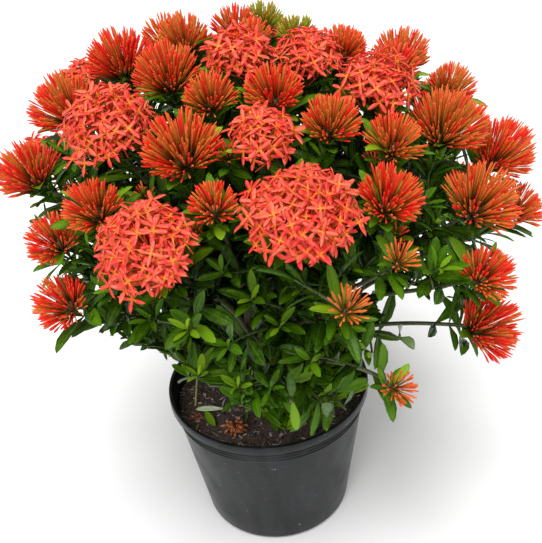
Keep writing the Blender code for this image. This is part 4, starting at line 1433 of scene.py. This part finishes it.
class Workshop:
    """What the growing pieces are made with: the paints, the small shapes and the two trees."""

    def __init__(self):
        self.paints = make_paints()
        self.shapes = {"leaf": leaf_shape(), "bud": bud_shape(), "floret": floret_shape(),
                       "chip": chip_shape()}
        self.sower = sow_tree()
        self.roller = tube_tree()

    def sow(self, name, points, shape, paint):
        """A mesh with a small shape on every point, each (place, turn, stretch, tone)."""
        values = {"Shape": self.shapes[shape], "Finish": self.paints[paint]}
        return grow(name, points_mesh(points), self.sower, values)

    def roll(self, name, paths, paint):
        """A mesh of round stems along paths, each (points, (first radius, last radius))."""
        mesh = grow(name, stems_mesh(paths), self.roller, {"Sides": STEM_ROUND, "Finish": self.paints[paint]})
        mesh.shade_smooth()
        return mesh


def grow(name, mesh, tree_and_names, values):
    """Runs a tree on a mesh and keeps the result as a plain mesh."""
    tree, names = tree_and_names
    seedbed = add_object(name + "_bed", mesh)
    modifier = seedbed.modifiers.new("grow", "NODES")
    modifier.node_group = tree
    for key, value in values.items():
        modifier[names[key]] = value
    bpy.context.view_layer.update()
    grown = seedbed.evaluated_get(bpy.context.evaluated_depsgraph_get())
    result = bpy.data.meshes.new_from_object(grown)
    result.name = name
    bpy.data.objects.remove(seedbed)
    return result


def join_meshes(name, meshes):
    """One plain object from several meshes, each keeping its material."""
    parts = [add_object(f"{name}_{i}", mesh) for i, mesh in enumerate(meshes)]
    with bpy.context.temp_override(active_object=parts[0], selected_editable_objects=parts):
        bpy.ops.object.join()
    whole = parts[0]
    whole.name = name
    whole.data.name = name
    return whole


def keep(obj, *nodes, slot):
    """Hands a finished piece to the frame: it rides on the one body and stands for its nodes."""
    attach(obj, "root")
    if nodes:
        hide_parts(*nodes)


def keep_mesh(name, mesh, *nodes, slot):
    keep(add_object(name, mesh), *nodes, slot=slot)


# Heads

def seen_axis(head):
    """The way that a head's buds open: its own axis, raised a little towards the light."""
    return (head[2] + UP * HEAD_LIFT).normalized()


def head_base(head):
    """Where a head's short stalks spread from."""
    return head[1] - seen_axis(head) * head[3] * HEAD_BASE[head[0]]


def any_way(draw, stray):
    return Vector([draw.gauss(0, stray) for _ in range(3)])


def dome_ways(count, spread, draw, stray=0.045):
    """Directions spread evenly over a dome, each nudged a little."""
    low = math.cos(math.radians(spread))
    phase = draw.uniform(0, 2 * math.pi)
    found = []
    for i in range(count):
        way = way_at(phase + GOLDEN_TURN * i, 1 - (1 - low) * (i + 0.5) / count)
        found.append((way + any_way(draw, stray)).normalized())
    return found


def turn_of(way, spin):
    return (way.to_track_quat("Z", "Y") @ Quaternion(UP, spin)).to_euler()


def head_core(base, radius, flare, material):
    """The knot of short stalks under a head: a small cone that widens to a low dome."""
    bm = bmesh.new()
    wide = radius * flare
    profile = [(out, base + rise) for out, rise in CORE_NECK]
    profile += [(wide * out, base + wide * rise) for out, rise in CORE_DOME]
    lathe(bm, profile, CORE_SIDES)
    mesh = finish_mesh(bm, "core")
    mesh.materials.append(material)
    return mesh


def make_head(number, head, kit):
    """One head: buds, and on an open head florets, that fan out from the top of its stalk to a dome."""
    kind, centre, _, radius = head
    radius *= HEAD_SWELL
    draw = random.Random(SEED + number)
    dome = 2 * math.pi * (radius * CM_IN_M) ** 2
    base, flare = -radius * HEAD_BASE[kind], HEAD_FLARE[kind]
    shade = HEAD_SHADES.get(number + 1, draw.uniform(*OTHER_SHADES))

    def root_of(way):
        rise = ROOT_RISE[0] + ROOT_RISE[1] * max(0, way.z)
        return Vector((way.x * radius * flare, way.y * radius * flare,
                       base + radius * rise * draw.uniform(*ROOT_STRAY)))

    tufts = [(way, draw.uniform(*TUFT_REACH), draw.gauss(0, TUFT_TONE_STRAY))
             for way in dome_ways(BUD_TUFTS, HEAD_SPREAD[kind] - TUFT_INSET, draw)]
    buds = []
    for way in dome_ways(round(dome * BUD_DENSITY[kind]), HEAD_SPREAD[kind], draw):
        middle, tuft_reach, tuft_tone = max(tufts, key=lambda tuft: tuft[0].dot(way))
        way = (way + middle * TUFT_PULL).normalized()
        root = root_of(way)
        reach = radius * tuft_reach * draw.uniform(*(SHORT_BUD_REACH if kind == "open" else BUD_REACH))
        thick = BUD_THICK * draw.uniform(*BUD_THICKNESSES)
        tone = draw.uniform(*(ORANGE_TONES if draw.random() < shade + tuft_tone else RED_TONES))
        stalk = way * reach - root
        buds.append((root, turn_of(stalk, draw.uniform(*ANY_TURN)), (thick, thick, stalk.length), tone))
    meshes = [head_core(base, radius, flare, kit.paints["core_green" if kind == "green" else "core"]),
              kit.sow("buds", buds, "bud", kind if kind != "open" else "bud")]
    if kind == "open":
        florets = []
        for way in dome_ways(round(dome * FLORET_DENSITY), FLORET_SPREAD, draw, FLORET_STRAY):
            tuft_reach = max(tufts, key=lambda tuft: tuft[0].dot(way))[1]
            level = radius * tuft_reach * draw.uniform(*FLORET_LEVELS)
            span = FLORET_SPAN * draw.uniform(*FLORET_SIZES)
            stalk = way * level - root_of(way)
            tilt = (stalk.normalized() + any_way(draw, FLORET_TILT)).normalized()
            florets.append((way * level, turn_of(tilt, draw.uniform(*ANY_TURN)),
                            (span, span, span * draw.uniform(*FLORET_DEPTH)), draw.uniform(0, 1)))
        meshes.append(kit.sow("florets", florets, "floret", "petal"))
    whole = join_meshes(f"{kind}_flowers_{number + 1:02d}", meshes)
    turn = seen_axis(head).to_track_quat("Z", "Y").to_matrix().to_4x4()
    whole.data.transform(Matrix.Translation(centre) @ turn)
    keep(whole, f"{kind}_head_{number + 1:02d}", slot=HEAD_SLOTS[kind])


def make_tufts(foliage, kit):
    """The small unopened tufts at the ends of side shoots, between the heads."""
    draw = random.Random(SEED)
    buds = []
    for tip, way in foliage.tufts:
        turn = way.to_track_quat("Z", "Y")
        reach = draw.uniform(*YOUNG_REACH)
        for spread in dome_ways(YOUNG_BUDS, YOUNG_SPREAD, draw, YOUNG_STRAY):
            stalk = turn @ spread
            thick = BUD_THICK * draw.uniform(*YOUNG_THICKNESSES)
            buds.append((tip + stalk * YOUNG_FOOT, turn_of(stalk, draw.uniform(*ANY_TURN)),
                         (thick, thick, reach * draw.uniform(*YOUNG_LENGTHS)), draw.random()))
    keep_mesh("young_tufts", kit.sow("tufts", buds, "bud", "bud"), slot="bud_red")


# Canes and leaves

def make_cane(number, cane, leaves, heads, kit):
    """One cane with its twigs and side shoots, and all its leaves."""
    paths = []
    for i, (arch, head, _, _) in enumerate(cane["dressed"]):
        if not is_shown(arch, head):
            continue
        path = along_curve(arch, STEM_STEP)
        if head is not None:
            path = path[:-1] + [head_base(heads[head])]
        if i == 0:
            paths.append(([cane["foot"]] + path, (CANE_RADIUS, TWIG_RADIUS)))
        else:
            end = TWIG_RADIUS * (1 if head is not None else BARE_TIP)
            paths.append((path, (TWIG_RADIUS * TWIG_SWELL, end)))
    for arch in cane["shoots"]:
        paths.append((along_curve(arch, SHOOT_PATH_STEP), (SHOOT_TWIG, SHOOT_TWIG * BARE_TIP)))
    node = f"cane_{number + 1}"
    keep_mesh(f"cane_stems_{number + 1}", kit.roll("wood", paths, "stem"), node, slot="leaf_green")
    draw = random.Random(SEED + number)
    points = []
    for place, turn, length, age in leaves:
        width = length * draw.uniform(*LEAF_BREADTH)
        points.append((place, turn.to_euler(), (length, width, length * draw.uniform(*LEAF_DEPTH)), age))
    blades = kit.sow("foliage", points, "leaf", "leaf")
    keep_mesh(f"cane_leaves_{number + 1}", blades, node, slot="leaf_green")


# Pot and soil

def outer(height):
    return POT_BASE_RADIUS + (POT_RIM_RADIUS - POT_LIP - POT_BASE_RADIUS) * height / POT_HEIGHT


def inner_radius(height):
    return outer(height) - POT_WALL


def pot_profile():
    """The pot's wall from the middle of its underside, up its outside and down its inside."""
    rim = POT_HEIGHT - POT_LIP_DEPTH
    bend = POT_HEEL - HEEL_INSET
    profile = [(BASE_HOLE, 0.0), (POT_BASE_RADIUS - POT_HEEL, 0.0)]
    for step in range(1, HEEL_STEPS + 1):
        angle = math.radians(-90 + HEEL_ANGLE * step / HEEL_STEPS)
        profile.append((outer(POT_HEEL) - POT_HEEL + HEEL_INSET + bend * math.cos(angle),
                        POT_HEEL + POT_HEEL * math.sin(angle)))
    for step in range(1, WALL_STEPS + 1):
        plain = POT_HEIGHT - POT_STEP_DEPTHS[-1] - WALL_TOP_GAP - POT_HEEL
        height = POT_HEEL + plain * step / WALL_STEPS
        profile.append((outer(height), height))
    for depth in reversed(POT_STEP_DEPTHS):
        height = POT_HEIGHT - depth
        profile.append((outer(height - RING_FOOT), height - RING_FOOT))
        profile += [(outer(height) + POT_STEP * share, height + rise) for share, rise in RING_BEAD]
    profile.append((outer(rim) + LIP_FOOT[0], rim + LIP_FOOT[1]))
    profile += [(POT_RIM_RADIUS + out, rim + rise) for out, rise in LIP_UNDER]
    profile += [(POT_RIM_RADIUS + out, POT_HEIGHT + rise) for out, rise in LIP_TOP]
    profile += [(inner_radius(POT_HEIGHT) + out, POT_HEIGHT + rise) for out, rise in LIP_INSIDE]
    for step in range(1, WALL_STEPS + 1):
        height = POT_HEIGHT - (POT_HEIGHT - FLOOR_RISE) * step / WALL_STEPS
        profile.append((inner_radius(height), height))
    profile += [(POT_BASE_RADIUS - POT_HEEL, POT_WALL), (BASE_HOLE, POT_WALL)]
    return profile


def make_pot(paint):
    bm = bmesh.new()
    lathe(bm, pot_profile(), POT_SIDES)
    pot = bmesh_object(bm, "nursery_pot")
    drains = []
    for i in range(DRAIN_COUNT):
        turn = 2 * math.pi * (i + 0.5) / DRAIN_COUNT
        hole = bmesh.new()
        bmesh.ops.create_cone(hole, cap_ends=True, segments=DRAIN_SIDES, radius1=DRAIN_RADIUS,
                              radius2=DRAIN_RADIUS, depth=DRAIN_CUT)
        place = (DRAIN_RING * math.cos(turn), DRAIN_RING * math.sin(turn), 0.0)
        bmesh.ops.translate(hole, verts=hole.verts, vec=place)
        drains.append(bmesh_object(hole, f"drain_{i}", smooth=False))
        modifier = pot.modifiers.new("drain", "BOOLEAN")
        modifier.operation = "DIFFERENCE"
        modifier.object = drains[-1]
    bpy.context.view_layer.update()
    cut = bpy.data.meshes.new_from_object(pot.evaluated_get(bpy.context.evaluated_depsgraph_get()))
    pot.modifiers.clear()
    pot.data = cut
    for drain in drains:
        bpy.data.objects.remove(drain)
    cut.shade_smooth()
    cut.set_sharp_from_angle(angle=math.radians(SHARP_EDGE))
    cut.materials.clear()
    cut.materials.append(paint)
    keep(pot, "pot", slot="pot_black")


def soil_height(x, y, ripples):
    radius = math.hypot(x, y)
    height = SOIL_LEVEL + SOIL_CROWN * (1 - (radius / POT_RIM_RADIUS) ** 2)
    for across, along, phase, size in ripples:
        height += size * math.sin(across * x + along * y + phase)
    return height


def make_soil(kit):
    """The soil with its loose bits, and its surface as a tree of faces to set things on."""
    draw = random.Random(SEED)
    ripples = [(draw.uniform(-1, 1) * pitch, draw.uniform(-1, 1) * pitch, draw.uniform(*ANY_TURN),
                RIPPLE_SIZE / pitch) for pitch in RIPPLE_PITCHES for _ in range(2)]
    bm = bmesh.new()
    reach = inner_radius(SOIL_LEVEL)
    rings = add_rings(bm, [((reach - SOIL_GAP) * ((n + 1) / SOIL_RINGS), 0) for n in range(SOIL_RINGS)],
                      SOIL_SIDES)
    for ring in rings:
        for corner in ring:
            grain = draw.uniform(-SOIL_GRAIN, SOIL_GRAIN)
            corner.co.z = soil_height(corner.co.x, corner.co.y, ripples) + grain
    bottom = SOIL_LEVEL - SOIL_FOOT_DEPTH
    shrink = (inner_radius(bottom) - SOIL_FOOT_GAP) / reach
    foot = [bm.verts.new((corner.co.x * shrink, corner.co.y * shrink, bottom)) for corner in rings[-1]]
    join_rings(bm, [foot] + rings[::-1])
    bm.faces.new(rings[0])
    bm.faces.new(foot[::-1])
    ground = BVHTree.FromBMesh(bm)
    top = finish_mesh(bm, "soil_top")
    top.materials.append(kit.paints["soil"])
    bits = kit.sow("bits", lay_chips(draw, ripples), "chip", "chip")
    keep(join_meshes("potting_soil", [top, bits]), "soil", slot="soil")
    return ground


def lay_chips(draw, ripples):
    """Where the bits of bark lie, every few of them a long fibre."""
    chips = []
    for i in range(CHIP_COUNT):
        radius = CHIP_REACH * math.sqrt(draw.random())
        turn = draw.uniform(0, 2 * math.pi)
        x, y = radius * math.cos(turn), radius * math.sin(turn)
        spin = Euler((draw.gauss(0, CHIP_TILTS[0]), draw.gauss(0, CHIP_TILTS[1]), draw.uniform(*CHIP_SPIN)))
        if i % FIBRE_EVERY == 0:
            size = draw.uniform(*FIBRE_LENGTH)
            slim = draw.uniform(*FIBRE_WIDTH)
            depth = FIBRE_DEPTH
            shade = draw.uniform(*FIBRE_SHADES)
        else:
            size = CHIP_LENGTH[0] + CHIP_LENGTH[1] * draw.random() ** 2
            slim = draw.uniform(*CHIP_WIDTH)
            depth = 1
            shade = draw.random() ** CHIP_SHADE
        place = Vector((x, y, soil_height(x, y, ripples) + CHIP_RISE))
        chips.append((place, spin, (size, size * slim, size * depth), shade))
    return chips


# What has dropped on the soil

def soil_spot(across, down):
    """Where a sight line meets the level of the soil."""
    ray = sight_line(across, down)
    return EYE + ray * ((SOIL_LEVEL + SOIL_CROWN - EYE.z) / ray.z)


def ground_under(ground, point):
    """The soil's surface under a point, or None beside it."""
    return ground.ray_cast(point + UP * DROP_HEIGHT, -UP)[0]


def let_down(mesh, ground, gap):
    """Lowers a mesh until its nearest corner is a gap above the ground."""
    hits = [(corner.co.z, ground_under(ground, corner.co)) for corner in mesh.vertices]
    mesh.transform(Matrix.Translation(UP * (gap - min(z - hit.z for z, hit in hits if hit))))


def make_fallen_leaf(kit, ground):
    along = way_at(math.radians(FALLEN_LEAF_TURN))
    start = soil_spot(*FALLEN_LEAF_PIXEL) - along * LEAF_LENGTH * FALLEN_LEAF_MIDDLE
    matrix = leaf_frame(start, UP, along, math.radians(FALLEN_LEAF_LEAN), LEAF_LENGTH * FALLEN_LEAF_SIZE)
    place, way, size = matrix.decompose()
    stretch = [size.x * LEAF_LENGTH * share for share in FALLEN_LEAF_STRETCH]
    leaf = kit.sow("fallen", [(place, way.to_euler(), stretch, FALLEN_LEAF_AGE)], "leaf", "fallen_leaf")
    let_down(leaf, ground, FALLEN_LEAF_GAP)
    keep_mesh("shed_leaf", leaf, "fallen_leaf", slot="fallen_leaf")


def make_fallen_bloom(kit, ground, draw):
    spot = soil_spot(*FALLEN_BLOOM_PIXEL)
    tilt = Euler((FALLEN_BLOOM_TILT, 0, 0)).to_matrix()
    petals = []
    for way in dome_ways(FALLEN_BLOOM_PETALS, FALLEN_BLOOM_SPREAD, draw, FALLEN_BLOOM_STRAY):
        stretch = (FALLEN_BLOOM_THICK, FALLEN_BLOOM_THICK,
                   FALLEN_BLOOM_RADIUS * draw.uniform(*FALLEN_BLOOM_REACH))
        petals.append((spot, turn_of(tilt @ way, draw.uniform(*ANY_TURN)), stretch, draw.random()))
    bloom = kit.sow("shed", petals, "bud", "fallen_bloom")
    let_down(bloom, ground, FALLEN_BLOOM_GAP)
    keep_mesh("shed_bloom", bloom, "fallen_bloom", slot="fallen_bloom")


def make_shed_green_leaf(kit, ground):
    way = SHED_GREEN_WAY
    start = soil_spot(*SHED_GREEN_PIXEL) - way * SHED_GREEN_BACK
    facing = UP + way.cross(UP) * SHED_GREEN_ROLL
    place, turn, length, age = lay_leaf(start, way + UP * SHED_GREEN_RAISE, facing, SHED_GREEN_LENGTH,
                                        SHED_GREEN_AGE)
    stretch = [length * share for share in SHED_GREEN_STRETCH]
    green = kit.sow("shed_green", [(place, turn.to_euler(), stretch, age)], "leaf", "leaf")
    let_down(green, ground, SHED_GREEN_GAP)
    keep_mesh("shed_green_leaf", green, slot="leaf_green")


def make_dried_petals(kit, ground, draw):
    dried = []
    for _ in range(DRIED_PETALS):
        pixel = [middle + draw.gauss(0, stray) for middle, stray in zip(SHED_PETAL_PIXEL, SHED_PETAL_STRAYS)]
        flat = Vector((draw.gauss(0, 1), draw.gauss(0, 1), draw.gauss(0, DRIED_PETAL_RISE)))
        hit = ground_under(ground, soil_spot(*pixel))
        size = (DRIED_PETAL_THICK, DRIED_PETAL_THICK, draw.uniform(*DRIED_PETAL_LENGTH))
        if hit:
            dried.append((hit + UP * DRIED_PETAL_GAP, turn_of(flat, 0), size, draw.random()))
    keep_mesh("dried_petals", kit.sow("dried", dried, "bud", "fallen_bloom"), slot="fallen_bloom")


def make_dry_stalk(kit):
    foot, top = (soil_spot(*pixel) for pixel in STRAW_PIXELS)
    lean = (top - foot) * STRAW_LEAN
    straw = [foot + lean * n + UP * rise for n, rise in enumerate(STRAW_RISES)]
    keep_mesh("dry_stalk", kit.roll("straw", [(straw, STRAW_RADII)], "straw"), slot="fallen_leaf")


def make_litter(kit, ground):
    draw = random.Random(SEED)
    make_fallen_leaf(kit, ground)
    make_fallen_bloom(kit, ground, draw)
    make_shed_green_leaf(kit, ground)
    make_dried_petals(kit, ground, draw)
    make_dry_stalk(kit)


# Room, light and camera

def make_floor():
    bm = bmesh.new()
    bmesh.ops.create_grid(bm, x_segments=1, y_segments=1, size=FLOOR_SIZE)
    floor = bmesh_object(bm, "floor", smooth=False)
    floor.data.transform(Matrix.Translation(UP * -FLOOR_DROP))
    paint = Paint("floor_white", 0.9)
    paint.show("Base Color", FLOOR_COLOUR)
    floor.data.materials.append(paint.material)


def make_light():
    world = bpy.data.worlds.new("room")
    bpy.context.scene.world = world
    world.use_nodes = True
    background = world.node_tree.nodes["Background"]
    background.inputs["Color"].default_value = (1.0, 1.0, 1.0, 1)
    background.inputs["Strength"].default_value = ROOM_LIGHT
    for name, way, soft, power in SUNS:
        light = bpy.data.lights.new(name, "SUN")
        light.angle = math.radians(soft)
        light.energy = power
        lamp = add_object(name, light)
        lamp.rotation_euler = Vector(way).to_track_quat("-Z", "Y").to_euler()


def make_camera():
    look, right, raised = eye_axes()
    camera = bpy.data.cameras.new("camera")
    camera.sensor_width = SENSOR
    camera.sensor_fit = "HORIZONTAL"
    camera.lens = FOCAL_PX / PHOTO_SIZE[0] * SENSOR
    obj = add_object("camera", camera)
    obj.matrix_world = Matrix.Translation(EYE) @ Matrix((right, raised, -look)).transposed().to_4x4()
    bpy.context.scene.camera = obj


def make_paints():
    return {
        "pot": pot_paint(), "soil": soil_paint(), "chip": chip_paint(), "leaf": leaf_paint(),
        "stem": stem_paint(), "petal": petal_paint(),
        "bud": bud_paint("bud", (0.19, 0.130, 0.010), (0.84, 0.022, 0.014), (0.62, 0.215, 0.030)),
        "few": bud_paint("few_bud", (0.22, 0.20, 0.020), (0.66, 0.080, 0.016), (0.72, 0.20, 0.030)),
        "green": bud_paint("green_bud", (0.13, 0.20, 0.012), (0.36, 0.22, 0.016), (0.29, 0.36, 0.020)),
        "core": grain_paint("head_core", (0.040, 0.030, 0.005), (0.13, 0.080, 0.014), 330, *DEEP_GRAIN),
        "core_green": grain_paint("green_core", (0.03, 0.06, 0.008), (0.10, 0.15, 0.020), 330, *DEEP_GRAIN),
        "fallen_leaf": grain_paint("fallen_leaf", (0.74, 0.92, 0.55), (0.95, 1.0, 0.80), 180, *FINE_GRAIN),
        "fallen_bloom": grain_paint("fallen_bloom", (0.34, 0.075, 0.022), (0.62, 0.24, 0.09), 400,
                                    *FINE_GRAIN),
        "straw": grain_paint("straw", (0.28, 0.30, 0.07), (0.50, 0.48, 0.19), 260, *FINE_GRAIN),
    }


def main():
    bpy.context.scene.view_settings.view_transform = "Standard"
    make_camera()
    make_floor()
    make_light()
    kit = Workshop()
    heads = place_heads()
    canes, stems = plan_canes(heads)
    plan_leaves(heads, canes, stems)
    foliage = Foliage(heads)
    dress_twigs(foliage, canes)
    dress_heads(foliage, heads, canes)
    grow_shoots(foliage, canes, stems)
    make_pot(kit.paints["pot"])
    make_litter(kit, make_soil(kit))
    for number, head in enumerate(heads):
        make_head(number, head, kit)
    make_tufts(foliage, kit)
    for k, cane in enumerate(canes):
        make_cane(k, cane, [leaf for owner, leaf in foliage.leaves if owner == k], heads, kit)
    for shape in kit.shapes.values():
        bpy.data.objects.remove(shape)


main()
